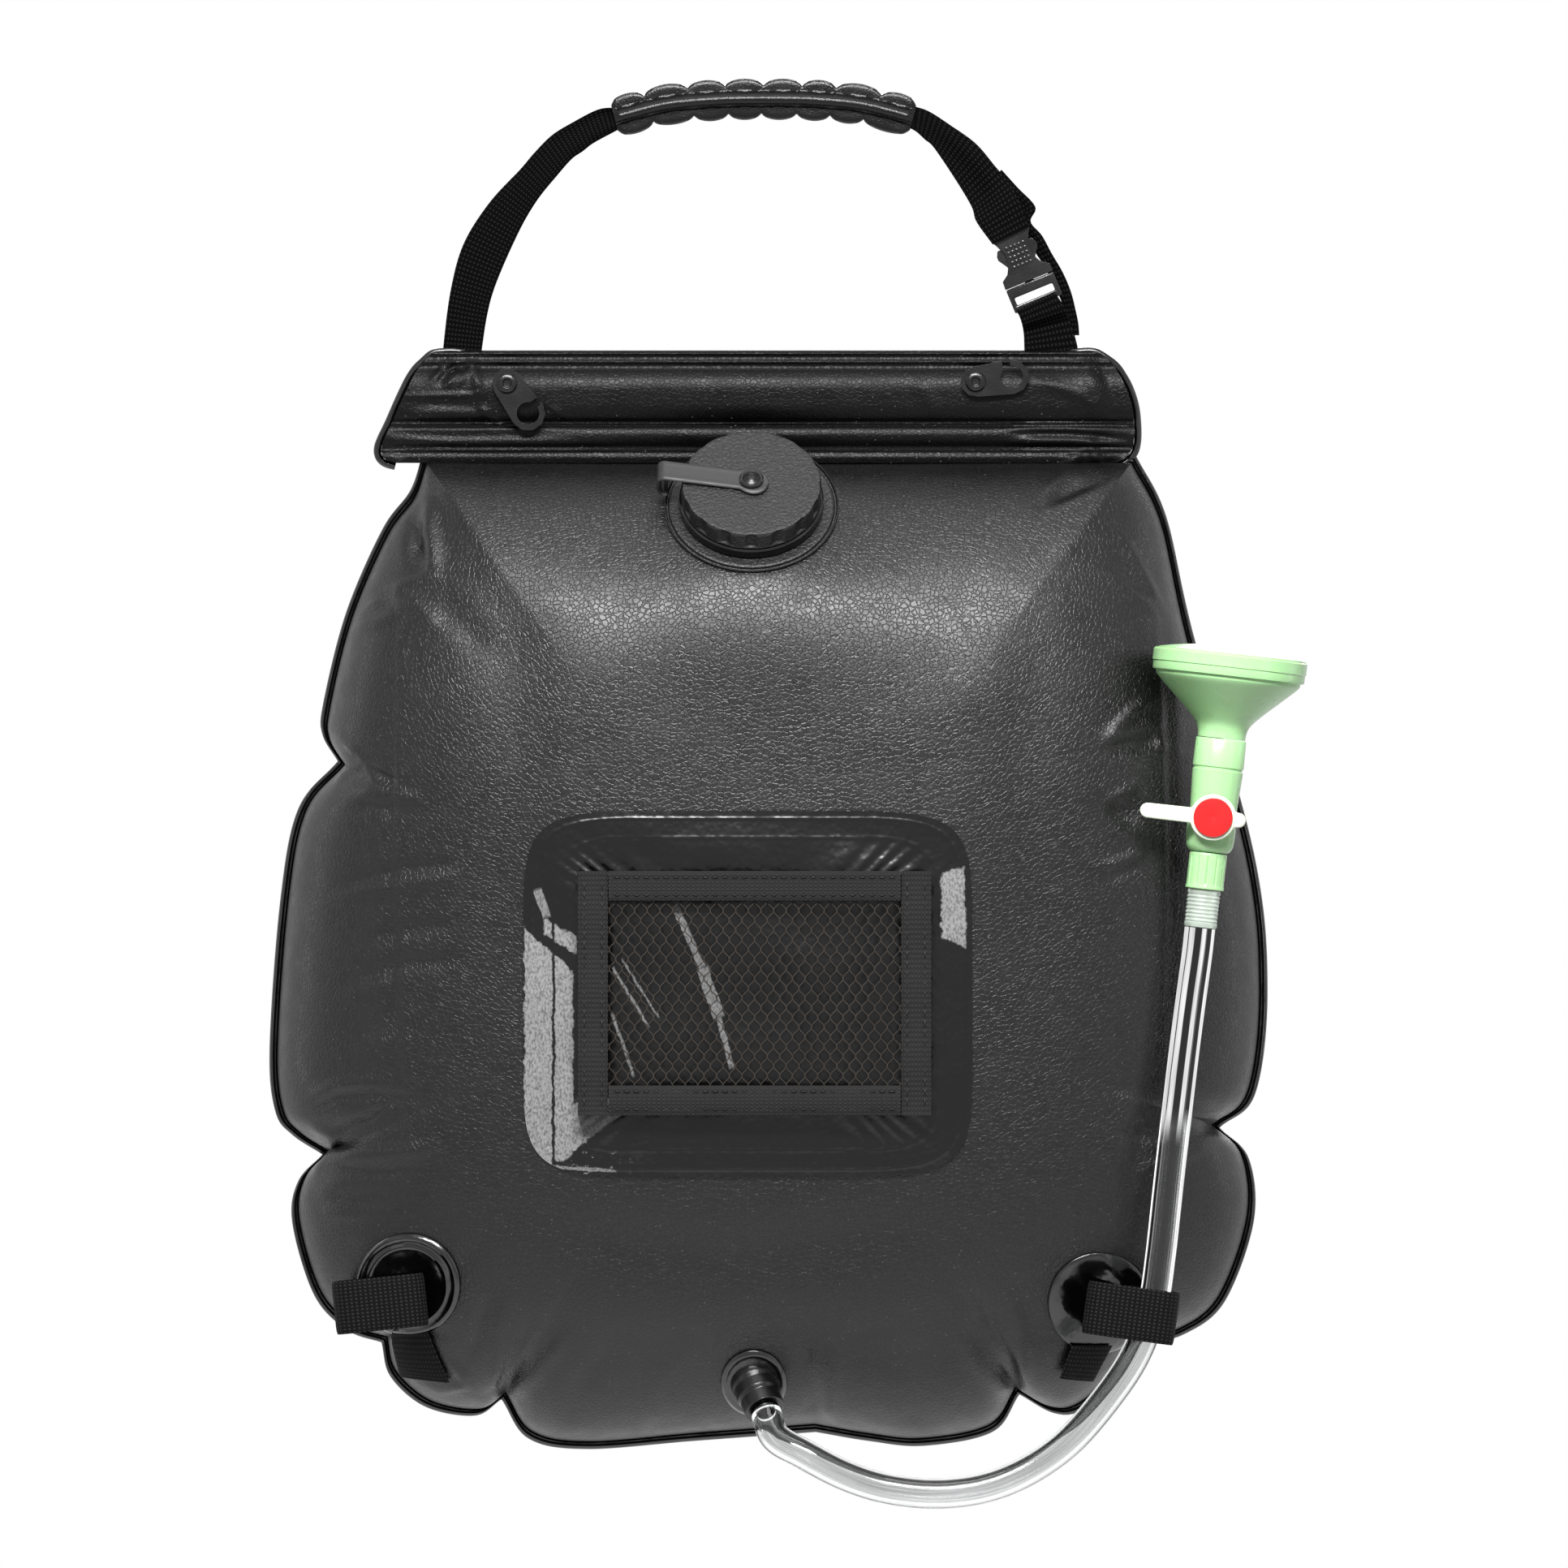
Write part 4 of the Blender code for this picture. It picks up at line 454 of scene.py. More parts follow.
def make_film_paint():
    """A clear film over the dark inside: dark and half glossy, with painted pale patches and streaks
    where the real film mirrors its surroundings."""
    paint = Paint("window_film", even(0.003), 0.10, Specular_IOR_Level=0.30)
    place = paint.where()
    x = column_of(paint.split(place, "X"))
    y = (paint.split(place, "Z") - LEVELS[3]) * ((ROWS[4] - ROWS[3]) / (LEVELS[4] - LEVELS[3])) + ROWS[3]
    frayed = paint.noise(place, 240.0, 4.0, 0.7) - 0.5
    grain = paint.noise(paint.stretched(place, (1.0, 1.0, 0.6)), 1300.0, 2.0)
    # Painted reflections: pale patches, streaks and flecks, broken along the weld seam.
    pale = 0.0
    for patch in PAINTED_REFLECTION_PATCHES:
        inside = 1.0
        for at_x, at_y, way_x, way_y in patch:
            beyond = (x - at_x) * way_x + (y - at_y) * way_y + frayed * 14
            inside = paint.between(beyond, -1.0, 1.6) * inside
        pale = paint.sum("MAXIMUM", inside, pale)
    seam = paint.add("Math", {"operation": "ABSOLUTE"}, {0: x - 684 + frayed * 9})
    pale = pale * paint.between(seam, 1.0, 2.4)
    for first_x, first_y, last_x, last_y, half in PAINTED_REFLECTION_STREAKS:
        length = math.hypot(last_x - first_x, last_y - first_y)
        way_x, way_y = (last_x - first_x) / length, (last_y - first_y) / length
        along = (x - first_x) * way_x + (y - first_y) * way_y
        aside = (x - first_x) * way_y - (y - first_y) * way_x + frayed * 7
        aside = paint.add("Math", {"operation": "ABSOLUTE"}, {0: aside})
        here = paint.between(along, -3.0, 3.0) * paint.between(along, length + 3, length - 3)
        here = here * paint.between(aside, half, half - 1.4)
        pale = paint.sum("MAXIMUM", here * 0.8, pale)
    reflection_flecks = paint.between(paint.noise(place, 330.0, 3.0, 0.6), 0.60, 0.66) * paint.between(y, 1412.0,
            1418.0)
    pale = paint.sum("MAXIMUM", reflection_flecks * paint.between(x, 800.0, 700.0), pale)
    shade = pale * paint.between(grain, 0.3, 0.62, 0.42, 1.0)
    paint.feed("Base Color", paint.mix(shade, even(0.0015), even(0.24)))
    paint.feed("Roughness", pale * 0.2 + 0.26)
    wavy = paint.bump(paint.noise(place, 18.0, 2.0), 0.0040)
    wavy = paint.bump(paint.noise(place, 70.0, 3.0), 0.0007, wavy)
    paint.bump(paint.cells(place, 420.0, "SMOOTH_F1"), 0.00015, wavy)
    return paint


STRIPED_LENGTH = 0.080
BESIDE_BAG = 0.163
PAINTED_GLOW_BANDS = ((0, 42), (47, 70), (97, 114), (139, 164))
PAINTED_EDGE_GLOW_BANDS = ((6, 26), (138, 162))


def make_hose_paint(bore, head_end):
    """Clear plastic. Where it stands before the bag, its wall carries painted bright lines, an emitted glow
    that stands in for the light the thick wall bends, and painted dark lines of shade; elsewhere it is a pale
    grey.
    The lines are bands of the angle round the tube, which the UV gives in metres."""
    paint = Paint("clear_tube", (0.80, 0.81, 0.81), 0.03, Transmission_Weight=1.0, IOR=1.45,
                  Emission_Strength=1.0)
    cloth = paint.on_cloth()
    along = paint.split(cloth, "Y")
    wobble = paint.noise(paint.stretched(cloth, (0.0, 1.0, 0.0)), 24.0, 2.0) - 0.5
    angle = paint.split(cloth, "X") * (180 / math.pi / bore) + wobble * 6

    def bands(table):
        found = 0.0
        for low, high in table:
            found = paint.between(angle, low - 2, low + 2) * paint.between(angle, high + 2,
                    high - 2) + found
        return found

    outer = paint.between(along, head_end + 0.0003, head_end)
    striped = paint.between(along, head_end - STRIPED_LENGTH - 0.010, head_end - STRIPED_LENGTH + 0.006)
    beside = paint.between(along, head_end - BESIDE_BAG - 0.004, head_end - BESIDE_BAG) * (1 - striped)
    streaky = paint.noise(paint.stretched(cloth, (1.0, 0.02, 1.0)), 1500.0, 2.0)
    # Painted glow: the bright bands are emission, standing in for light that the wall bends.
    bright = (bands(PAINTED_GLOW_BANDS) * striped + bands(PAINTED_EDGE_GLOW_BANDS) * beside) * outer
    level = bright * paint.between(streaky, 0.2, 0.8, 0.55, 0.95)
    paint.feed("Emission Color", paint.mix(level, even(0.0), even(1.0)))
    # Painted shade: dark bands in the colour where the hose stands before the bag. A streaky grey darkens the
    # rest.
    middle = paint.between(angle, 24.0, 34.0) * paint.between(angle, 142.0, 132.0)
    dark = paint.sum("MAXIMUM", striped * outer * paint.between(angle, 178.0, 170.0),
                     beside * outer * middle * 0.8)
    grey = paint.between(streaky, 0.3, 0.7, 0.0, 0.30)
    paint.feed("Base Color", paint.mix(paint.sum("MAXIMUM", dark, grey), (0.82, 0.83, 0.83), even(0.0)))
    paint.bump(paint.noise(cloth, 300.0, 2.0), 0.00001)
    return paint


FILM = make_film_paint()
print(len(bpy.data.materials), "materials")

# %% [markdown]
# Every piece below is a grid of points: rows along it and columns across or around it. `surface` joins
# the grid, closes it, turns its faces outward and gives it a UV that is measured in metres along the rows
# and across the columns.


# %% Surface helpers
SMOOTH_ANGLE = math.radians(40)
CURVE_STEPS = 12


def finished(name, bm, paint, body, nodes=()):
    """An object from this mesh, outward and smooth, that rides on its body and stands for its CAD nodes."""
    bmesh.ops.remove_doubles(bm, verts=bm.verts, dist=0.0000005)
    bmesh.ops.recalc_face_normals(bm, faces=bm.faces)
    mesh = bpy.data.meshes.new(name)
    bm.to_mesh(mesh)
    bm.free()
    mesh.shade_smooth()
    mesh.set_sharp_from_angle(angle=SMOOTH_ANGLE)
    mesh.materials.append(paint.material)
    made = bpy.data.objects.new(name, mesh)
    bpy.context.collection.objects.link(made)
    if body:
        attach(made, body)
    if nodes:
        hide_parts(*nodes)
    print(name, len(mesh.polygons), "faces")
    return made


def run_of(points):
    """How far along a line of points each one lies."""
    return np.concatenate([[0], np.cumsum(np.linalg.norm(np.diff(points, axis=0), axis=1))])


def surface(name, grids, paint, body, nodes=(), around=False, along=False, ends=False):
    """A mesh from one grid of points, or from several alike. around joins the last column to the first, along
    joins the last row to the first, and ends fills the first and the last row."""
    grids = [grids] if isinstance(grids, np.ndarray) else grids
    points, faces, metres, caps, start = [], [], [], [], 0
    for grid in grids:
        rows, columns = grid.shape[:2]
        index = np.arange(rows * columns).reshape(rows, columns)
        if around:
            index = np.hstack([index, index[:, :1]])
        if along:
            index = np.vstack([index, index[:1]])
        flat = grid.reshape(-1, 3)
        corner = joined(index[:-1, :-1], index[:-1, 1:], index[1:, 1:], index[1:, :-1]).reshape(-1, 4)
        faces.append(corner + start)
        u, v = np.meshgrid(run_of(flat[index[len(index) // 2]]), run_of(flat[index[:, 0]]))
        at = np.arange(u.size).reshape(u.shape)
        loops = joined(at[:-1, :-1], at[:-1, 1:], at[1:, 1:], at[1:, :-1]).reshape(-1)
        metres.append(joined(u.ravel()[loops], v.ravel()[loops]))
        if ends:
            caps += [(index[0, :columns][::-1] + start).tolist(), (index[-1, :columns] + start).tolist()]
        points.append(flat)
        start += len(flat)
    mesh = bpy.data.meshes.new("work")
    mesh.from_pydata(np.concatenate(points).tolist(), [], np.concatenate(faces).tolist() + caps)
    layer = mesh.uv_layers.new(name="metres")
    metres = np.concatenate(metres)
    whole = np.zeros((len(mesh.loops), 2))
    whole[: len(metres)] = metres
    layer.data.foreach_set("uv", whole.ravel())
    bm = bmesh.new()
    bm.from_mesh(mesh)
    bpy.data.meshes.remove(mesh)
    return finished(name, bm, paint, body, nodes)


def smooth(points, count=None):
    """Points on a Catmull-Rom spline through the given ones, evenly spaced where a count is given."""
    points = np.asarray(points, float)
    ends = np.vstack([2 * points[0] - points[1], points, 2 * points[-1] - points[-2]])
    t = np.linspace(0, 1, CURVE_STEPS + 1)[:-1, None]
    spans = [
        0.5 * (2 * b + (c - a) * t + (2 * a - 5 * b + 4 * c - d) * t**2 + (3 * b - a - 3 * c + d) * t**3)
        for a, b, c, d in zip(ends, ends[1:], ends[2:], ends[3:])
    ]
    line = np.vstack([*spans, points[-1:]])
    if count is None:
        return line
    run = run_of(line)
    at = np.linspace(0, run[-1], count)
    return np.stack([np.interp(at, run, line[:, k]) for k in range(line.shape[1])], axis=1)


def turns(count):
    """Angles evenly round a circle."""
    return np.arange(count) * math.tau / count


def crowded(count):
    """Shares from 0 to 1 that lie closer together towards both ends."""
    return (1 - np.cos(np.linspace(0, math.pi, count))) / 2


def strip_edge(share):
    """A strip's thickness across its width: 1 in the middle, falling steeply where share nears -1 or 1."""
    return np.sqrt(np.maximum(1 - np.abs(share) ** 8, 0.02))


def bell(offset):
    return np.exp(-(offset**2))


def ease(amount):
    """A smooth step from 0 to 1, held at both ends."""
    amount = np.clip(amount, 0, 1)
    return amount * amount * (3 - 2 * amount)


def unit(vectors):
    return vectors / np.maximum(np.linalg.norm(vectors, axis=-1, keepdims=True), 0.0000001)


def tube_grid(path, radius, steps, first_side=(0.0, 0.0, 1.0)):
    """Rings of this radius round a path, each turned as little as the path turns. Without a first side, each
    ring starts on the left of the path, seen from the front."""
    path = np.asarray(path, float)
    way = unit(np.gradient(path, axis=0))
    if first_side is None:
        sides = unit(np.cross((0.0, -1.0, 0.0), way))
    else:
        side = np.array(first_side)
        sides = []
        for step in way:
            side = side - step * (side @ step)
            side = side / np.linalg.norm(side)
            sides.append(side)
        sides = np.array(sides)
    third = np.cross(way, sides)
    turn = turns(steps)
    ring = sides[:, None] * np.cos(turn)[None, :, None] + third[:, None] * np.sin(turn)[None, :, None]
    radius = np.broadcast_to(np.asarray(radius, float).reshape(-1, 1, 1), (len(path), 1, 1))
    return path[:, None] + ring * radius


def rounded(profile, radius, steps=4):
    """A closed profile with each corner cut to an arc of up to this radius."""
    profile = np.asarray(profile, float)
    before = np.roll(profile, 1, axis=0)
    after = np.roll(profile, -1, axis=0)
    points = []
    for low, corner, high in zip(before, profile, after):
        back = np.linalg.norm(low - corner)
        on = np.linalg.norm(high - corner)
        cut = min(radius, back * 0.45, on * 0.45)
        first = corner + (low - corner) * cut / back
        last = corner + (high - corner) * cut / on
        t = np.linspace(0, 1, steps + 1)[:, None]
        points.append((1 - t) ** 2 * first + 2 * t * (1 - t) * corner + t**2 * last)
    return np.vstack(points)


def spun(name, profile, paint, body, nodes, place, radius=0.0004, steps=96, ribs=None):
    """A closed profile of (radius, height) spun about the place's Z. ribs scales its radius."""
    profile = rounded(profile, radius) if radius else np.asarray(profile, float)
    turn = turns(steps)
    reach = np.broadcast_to(profile[None, :, 0], (steps, len(profile)))
    if ribs is not None:
        reach = reach * ribs(turn[:, None], profile[None])
    grid = joined(reach * np.cos(turn)[:, None], reach * np.sin(turn)[:, None],
                  np.broadcast_to(profile[None, :, 1], reach.shape))
    return surface(name, put(grid, place), paint, body, nodes, around=True, along=True)


def slab(name, outline, low, high, paint, body, nodes, place, bevel=0.0004):
    """A flat outline in the place's XY plane from low to high along its Z, with rounded edges."""
    bm = bmesh.new()
    bm.faces.new([bm.verts.new((float(x), float(y), low)) for x, y in outline])
    grown = bmesh.ops.extrude_face_region(bm, geom=list(bm.faces))
    moved = [item for item in grown["geom"] if isinstance(item, bmesh.types.BMVert)]
    bmesh.ops.translate(bm, verts=moved, vec=(0, 0, high - low))
    bmesh.ops.transform(bm, matrix=place, verts=bm.verts)
    made = finished(name, bm, paint, body, nodes)
    return rounded_edges(made, bevel)


def rounded_edges(made, width):
    change = made.modifiers.new("edges", "BEVEL")
    change.width = width
    change.segments = 3
    change.limit_method = "ANGLE"
    change.angle_limit = math.radians(35)
    return made


def softened(name, node, paint, width=0.0004):
    """A copy of a CAD node's mesh in its place, with coplanar faces joined and edges rounded."""
    source = frame["nodes"][node]
    bm = bmesh.new()
    bm.from_mesh(source.data)
    bmesh.ops.transform(bm, matrix=source.matrix_world, verts=bm.verts)
    bmesh.ops.remove_doubles(bm, verts=bm.verts, dist=0.000005)
    bmesh.ops.dissolve_limit(bm, angle_limit=math.radians(1), verts=bm.verts, edges=bm.edges)
    made = finished(name, bm, paint, body_of(source)[0], (node,))
    return rounded_edges(made, width)


# %% [markdown]
# It follows the CAD route from the spout to the ferrule: a smooth curve through the points below. It is
# a real tube, with an inner wall, so that its clear plastic bends light. The bright and dark lines along its
# wall are painted into its material: a glow and a shade.

# %% Hose
SPOUT_AXIS = Vector((0.30, -0.58, -0.757)).normalized()
HOSE_RADIUS = 0.0063
HOSE_BORE = 0.0041
HEAD_LEAN = math.radians(6.4)
ROUTE = (
    (0.0165, -0.0640, -0.5460), (0.0330, -0.0650, -0.5545), (0.0500, -0.0650, -0.5600),
    (0.0700, -0.0640, -0.5622),
    (0.0900, -0.0630, -0.5600), (0.1080, -0.0620, -0.5530), (0.1250, -0.0612, -0.5410),
    (0.1400, -0.0608, -0.5240),
    (0.1520, -0.0605, -0.5060), (0.1592, -0.0604, -0.4860), (0.1625, -0.0603, -0.4650),
    (0.1655, -0.0600, -0.4380),
    (0.1690, -0.0594, -0.4080), (0.1730, -0.0587, -0.3750),
)


def head_place():
    x, z = spots((1476, 1141))
    return Matrix.Translation((x, -0.0580, z)) @ Matrix.Rotation(HEAD_LEAN, 4, "Y")


# %% [markdown]
# The spout stands on the front panel, so the panel's form comes next. In plan it is a rounded square
# inside and follows the lobed seam at its edge. In depth it is a pillow, held flat where the stiff filler
# flange sits.

# %% Form of the bag
LOBES = (
    ((520, 563), (505, 606), (471, 653), (426, 756), (398, 867), (397, 905), (416, 938)),
    ((416, 938), (367, 997), (345, 1110), (332, 1290), (339, 1368), (360, 1397), (397, 1421)),
    ((397, 1421), (367, 1454), (360, 1505), (387, 1594), (428, 1637), (470, 1652)),
    ((470, 1652), (481, 1694), (524, 1731), (585, 1742), (618, 1722)),
    ((618, 1722), (651, 1770), (722, 1783), (855, 1773), (1005, 1762)),
    ((1005, 1762), (1070, 1773), (1138, 1779), (1223, 1762), (1256, 1716)),
    ((1256, 1716), (1299, 1739), (1334, 1735), (1380, 1695), (1405, 1655)),
    ((1405, 1655), (1459, 1642), (1509, 1602), (1545, 1503), (1539, 1426), (1503, 1388)),
    ((1503, 1388), (1547, 1346), (1562, 1216), (1545, 1050), (1470, 780), (1437, 637), (1400, 563)),
    ((1400, 563), (960, 563), (520, 563)),
)
SEAM_STEP = 0.0020
CENTRE = spots((945, 1173))
PIPING_WIDTH = 0.0033
PANEL_INSET = 0.0034
HALF_WIDTH = 0.205
HALF_HEIGHT = 0.204
SQUARENESS = 3.3
HALF_DEPTH = 0.075
NECK_TILT = math.radians(41)
NECK_AT = spots((926, 628))
FLANGE_RADIUS = 0.0357
FLAT_BLEND = 0.090


def seam_line():
    """The outer edge of the seam, each lobe a smooth curve between its two pinches."""
    parts = []
    for lobe in LOBES:
        ends = spots(lobe)
        parts.append(smooth(ends, round(run_of(ends)[-1] / SEAM_STEP) + 1)[:-1])
    return np.vstack(parts)


SEAM = seam_line()
SEAM_ANGLE = np.unwrap(np.arctan2(SEAM[:, 1] - CENTRE[1], SEAM[:, 0] - CENTRE[0]))
SEAM_REACH = np.linalg.norm(SEAM - CENTRE, axis=1)
SEAM_ORDER = np.argsort(np.mod(SEAM_ANGLE, math.tau))


def seam_reach(angle):
    known = np.mod(SEAM_ANGLE, math.tau)[SEAM_ORDER]
    return np.interp(np.mod(angle, math.tau), known, SEAM_REACH[SEAM_ORDER], period=math.tau)


def plain_reach(angle):
    """The reach of the panel without its lobes: a superellipse."""
    wide = np.abs(np.cos(angle)) / HALF_WIDTH
    tall = np.abs(np.sin(angle)) / HALF_HEIGHT
    return (wide**SQUARENESS + tall**SQUARENESS) ** (-1 / SQUARENESS) - PANEL_INSET


def ring_reach(share, angle):
    plain = plain_reach(angle)
    return share * (plain + (seam_reach(angle) - PANEL_INSET - plain) * share**6)


def out_share(x, z):
    """How far out a place lies, from 0 at the centre to 1 at the seam, found by closing in on it."""
    angle = np.arctan2(z - CENTRE[1], x - CENTRE[0])
    distance = np.hypot(x - CENTRE[0], z - CENTRE[1])
    share = distance / plain_reach(angle)
    for _ in range(12):
        share = 0.5 * share + 0.5 * share * distance / np.maximum(ring_reach(share, angle), 0.000001)
    return np.clip(share, 0, 1)


def crown(share):
    """Half the depth at this share of the way out: the root of one less the cube of the share."""
    return GAP / 2 + (HALF_DEPTH - GAP / 2) * np.sqrt(np.maximum(1 - share**3, 0))


NECK_X, NECK_Z = NECK_AT
NECK_Y = -float(crown(out_share(NECK_X, NECK_Z)))


def ring_spots(share, angle):
    """X and Z of the panel's ring at this share of the way out."""
    reach_out = ring_reach(share, angle)
    return CENTRE[0] + reach_out * np.cos(angle), CENTRE[1] + reach_out * np.sin(angle)


def neck_distance(x, z):
    """How far a place is from the filler's axis, measured in the flange's own plane."""
    return np.hypot(x - NECK_X, (z - NECK_Z) / math.cos(NECK_TILT))


def front_at(x, z, share):
    """Y of the front panel without its creases."""
    pillow = -crown(share)
    away = neck_distance(x, z)
    pull = np.minimum(1, FLANGE_RADIUS / np.maximum(away, 0.0001))
    edge_x, edge_z = NECK_X + (x - NECK_X) * pull, NECK_Z + (z - NECK_Z) * pull
    flat = NECK_Y + (edge_z - NECK_Z) * math.tan(NECK_TILT)
    held = ease(1 - (away - FLANGE_RADIUS) / FLAT_BLEND) * ease((1 - share) / 0.10)
    return pillow + (flat + crown(out_share(edge_x, edge_z))) * held


def front(x, z):
    return front_at(x, z, out_share(x, z))


def normal_at(x, z):
    """The outward direction of the front panel."""
    step = 0.0005
    slope_x = (front(x + step, z) - front(x - step, z)) / (2 * step)
    slope_z = (front(x, z + step) - front(x, z - step)) / (2 * step)
    return unit(joined(slope_x, -np.ones_like(slope_x), slope_z))


def on_front(x, z, stand):
    """The point of the front panel at x and z, moved out along its normal."""
    return joined(x, front(x, z), z) + normal_at(x, z) * np.asarray(stand)[..., None]


def outlet_place():
    x, z = spots((929, 1697))
    turn = SPOUT_AXIS.to_track_quat("Z", "Y").to_matrix().to_4x4()
    return Matrix.Translation((x, float(front(x, z)), z)) @ turn


def neck_place():
    """The filler's axis: local Z runs out of the bag, towards the viewer and up."""
    return Matrix.Translation((NECK_X, NECK_Y, NECK_Z)) @ Matrix.Rotation(math.pi / 2 - NECK_TILT, 4, "X")


print("seam", len(SEAM), "points; neck at", round(NECK_Y, 4))

# %% The hose itself
SPOUT_LENGTH = 0.0150
BARB_SHOW = 0.0020


def hose_path():
    """The centre line of the hose, spout to ferrule."""
    start = outlet_place() @ Vector((0, 0, SPOUT_LENGTH + BARB_SHOW + GAP))
    straight = outlet_place() @ Vector((0, 0, SPOUT_LENGTH + BARB_SHOW + 2 * HOSE_RADIUS))
    before = head_place() @ Vector((0, 0, -2 * HOSE_RADIUS))
    end = head_place() @ Vector((0, 0, -GAP))
    return smooth([start, straight, *ROUTE, before, end], 260)


HOSE_PATH = hose_path()
HOSE_LENGTH = float(run_of(HOSE_PATH)[-1])


def make_hose():
    """The hose's wall: an outer and an inner tube along one path, joined at both ends."""
    outer = tube_grid(HOSE_PATH, HOSE_RADIUS, 40, None)
    inner = tube_grid(HOSE_PATH, HOSE_BORE, 40, None)[::-1]
    paint = make_hose_paint(HOSE_BORE, float(run_of(outer[:, 0])[-1]))
    return surface("hose_tube", np.concatenate([outer, inner]), paint, "bag", ("hose",), around=True,
                   along=True)


hose = make_hose()
print("hose", round(HOSE_LENGTH, 4), "m long")

# %% [markdown]
# The shower head sits on the hose's end. All its pieces share one axis, which leans 6.4 degrees, and most
# are spun from a profile: the clear ferrule with fine threads, the ribbed sleeve, the valve body with its
# waist, the trumpet funnel with a stepped rim, and the domed plate with its spray holes.

# %% Shower head
HEAD = head_place()
FERRULE_LENGTH = 0.0153
SLEEVE_LOW = FERRULE_LENGTH + GAP
SLEEVE_TOP = SLEEVE_LOW + 0.0150
VALVE_LOW = SLEEVE_TOP + GAP
VALVE_TOP = VALVE_LOW + 0.0465
HUB_HEIGHT = 0.0142


def make_ferrule():
    """A short nut with a fine thread outside."""
    level = np.linspace(0.0022, 0.0135, 58)
    thread = 0.0068 - 0.0004 * (1 + np.sin(level * math.tau / 0.0016)) / 2
    outer = joined(thread, level)
    profile = np.vstack([[(0.0040, 0.0), (0.0064, 0.0), (0.0068, 0.0006), (0.0068, 0.0018)], outer,
                         [(0.0068, 0.0140), (0.0066, 0.0153), (0.0040, 0.0153)]])
    return spun("ferrule_nut", profile, FERRULE, "bag", ("hose_ferrule",), HEAD, 0)


def make_sleeve():
    """A ribbed sleeve with flat panels between its ribs and a thin flange at its foot."""
    def panels(turn, profile):
        wave = np.abs(np.sin(turn * 6))
        level = profile[..., 1]
        middle = ease((level - SLEEVE_LOW - 0.0018) / 0.0008) * ease((SLEEVE_TOP - 0.0012 - level) / 0.0008)
        groove = 1 - ease(wave / 0.30)
        return 1 - 0.085 * groove * middle * ease((profile[..., 0] - 0.0060) / 0.001)

    low, top = SLEEVE_LOW, SLEEVE_TOP
    level = np.linspace(low + 0.0016, top - 0.0006, 24)
    side = joined(np.full_like(level, 0.0077), level)
    profile = np.vstack([[(0.0041, low), (0.0076, low), (0.0079, low + 0.0003), (0.0079, low + 0.0010)],
                         side,
                         [(0.0072, top), (0.0041, top)]])
    return spun("sleeve", profile, GREEN, "coupling_sleeve", ("coupling_sleeve",), HEAD, 0, 192, panels)


def make_valve():
    """The valve body: a rounded cup, a slight waist and a straight upper part, hollow along its axis."""
    low, top = VALVE_LOW, VALVE_TOP
    side = smooth([(0.0079, low + 0.0001), (0.0088, low + 0.0010), (0.0097, low + 0.0030),
                   (0.0100, low + 0.0075),
                   (0.0099, low + 0.0115), (0.0096, low + 0.0150), (0.0097, low + 0.0200),
                   (0.0102, low + 0.0290),
                   (0.0104, low + 0.0335)], 60)
    profile = np.vstack([[(0.0043, low)], side, [(0.0100, low + 0.0338), (0.0100, low + 0.0346),
            (0.0105, low + 0.0350),
                         (0.0103, top - 0.0004), (0.0100, top), (0.0043, top)]])
    return spun("valve_shell", profile, GREEN, "bag", ("valve_body",), HEAD, 0)


def make_funnel():
    """The funnel: a trumpet wall and a rim in two steps, and a hollow inside. Its place is given back."""
    place = HEAD @ Matrix.Translation((0, 0, VALVE_TOP + GAP))
    outer = smooth([(0.0098, 0.0), (0.0101, 0.0030), (0.0115, 0.0062), (0.0158, 0.0108), (0.0222, 0.0168),
                    (0.0280, 0.0222), (0.0296, 0.0240)], 60)
    inner = smooth([(0.0276, 0.0262), (0.0204, 0.0186), (0.0142, 0.0124), (0.0098, 0.0082),
                    (0.0060, 0.0020),
                    (0.0043, 0.0)], 40)
    profile = np.vstack([outer, [(0.0297, 0.0252), (0.0310, 0.0256), (0.0312, 0.0262), (0.0312, 0.0288),
                                 (0.0316, 0.0292), (0.0316, 0.0336), (0.0310, 0.0341), (0.0310, 0.0345),
                                 (0.0298, 0.0345), (0.0298, 0.0325)], inner])
    spun("funnel", profile, GREEN, "bag", ("shower_funnel",), place, 0, 128)
    return place


def make_spray_plate(place):
    """A domed plate whose spray holes are small dimples in three rings."""
    foot = 0.0345 - 0.0018 + GAP
    reach = np.linspace(0, 1, 64)
    edge = 0.0316 - 0.0018 - GAP
    turn = turns(192)
    x = edge * reach[:, None] * np.cos(turn)
    y = edge * reach[:, None] * np.sin(turn)
    top = foot + 0.0018 + 0.0032 * (1 - reach[:, None] ** 2) + 0 * x
    for count, share in ((6, 0.22), (12, 0.46), (18, 0.70)):
        for hole in turns(count):
            away = np.hypot(x - edge * share * math.cos(hole), y - edge * share * math.sin(hole))
            top = top - 0.0012 * ease(1 - (away - 0.0004) / 0.0007)
    under = foot + 0.0030 * (1 - reach[::-1, None] ** 2) + 0 * x
    upper = joined(x, y, top)
    lower = joined(x[::-1], y[::-1], under)
    return surface("spray_face", put(np.vstack([upper, lower]), place), GREEN, "bag", ("spray_plate",),
                   around=True)


ferrule = make_ferrule()
make_sleeve()
make_valve()
make_spray_plate(make_funnel())

# %% [markdown]
# The valve turns by a cream lever in front of the body. Its plug shows as a collar behind the lever, and
# a plain red disc covers the hub.


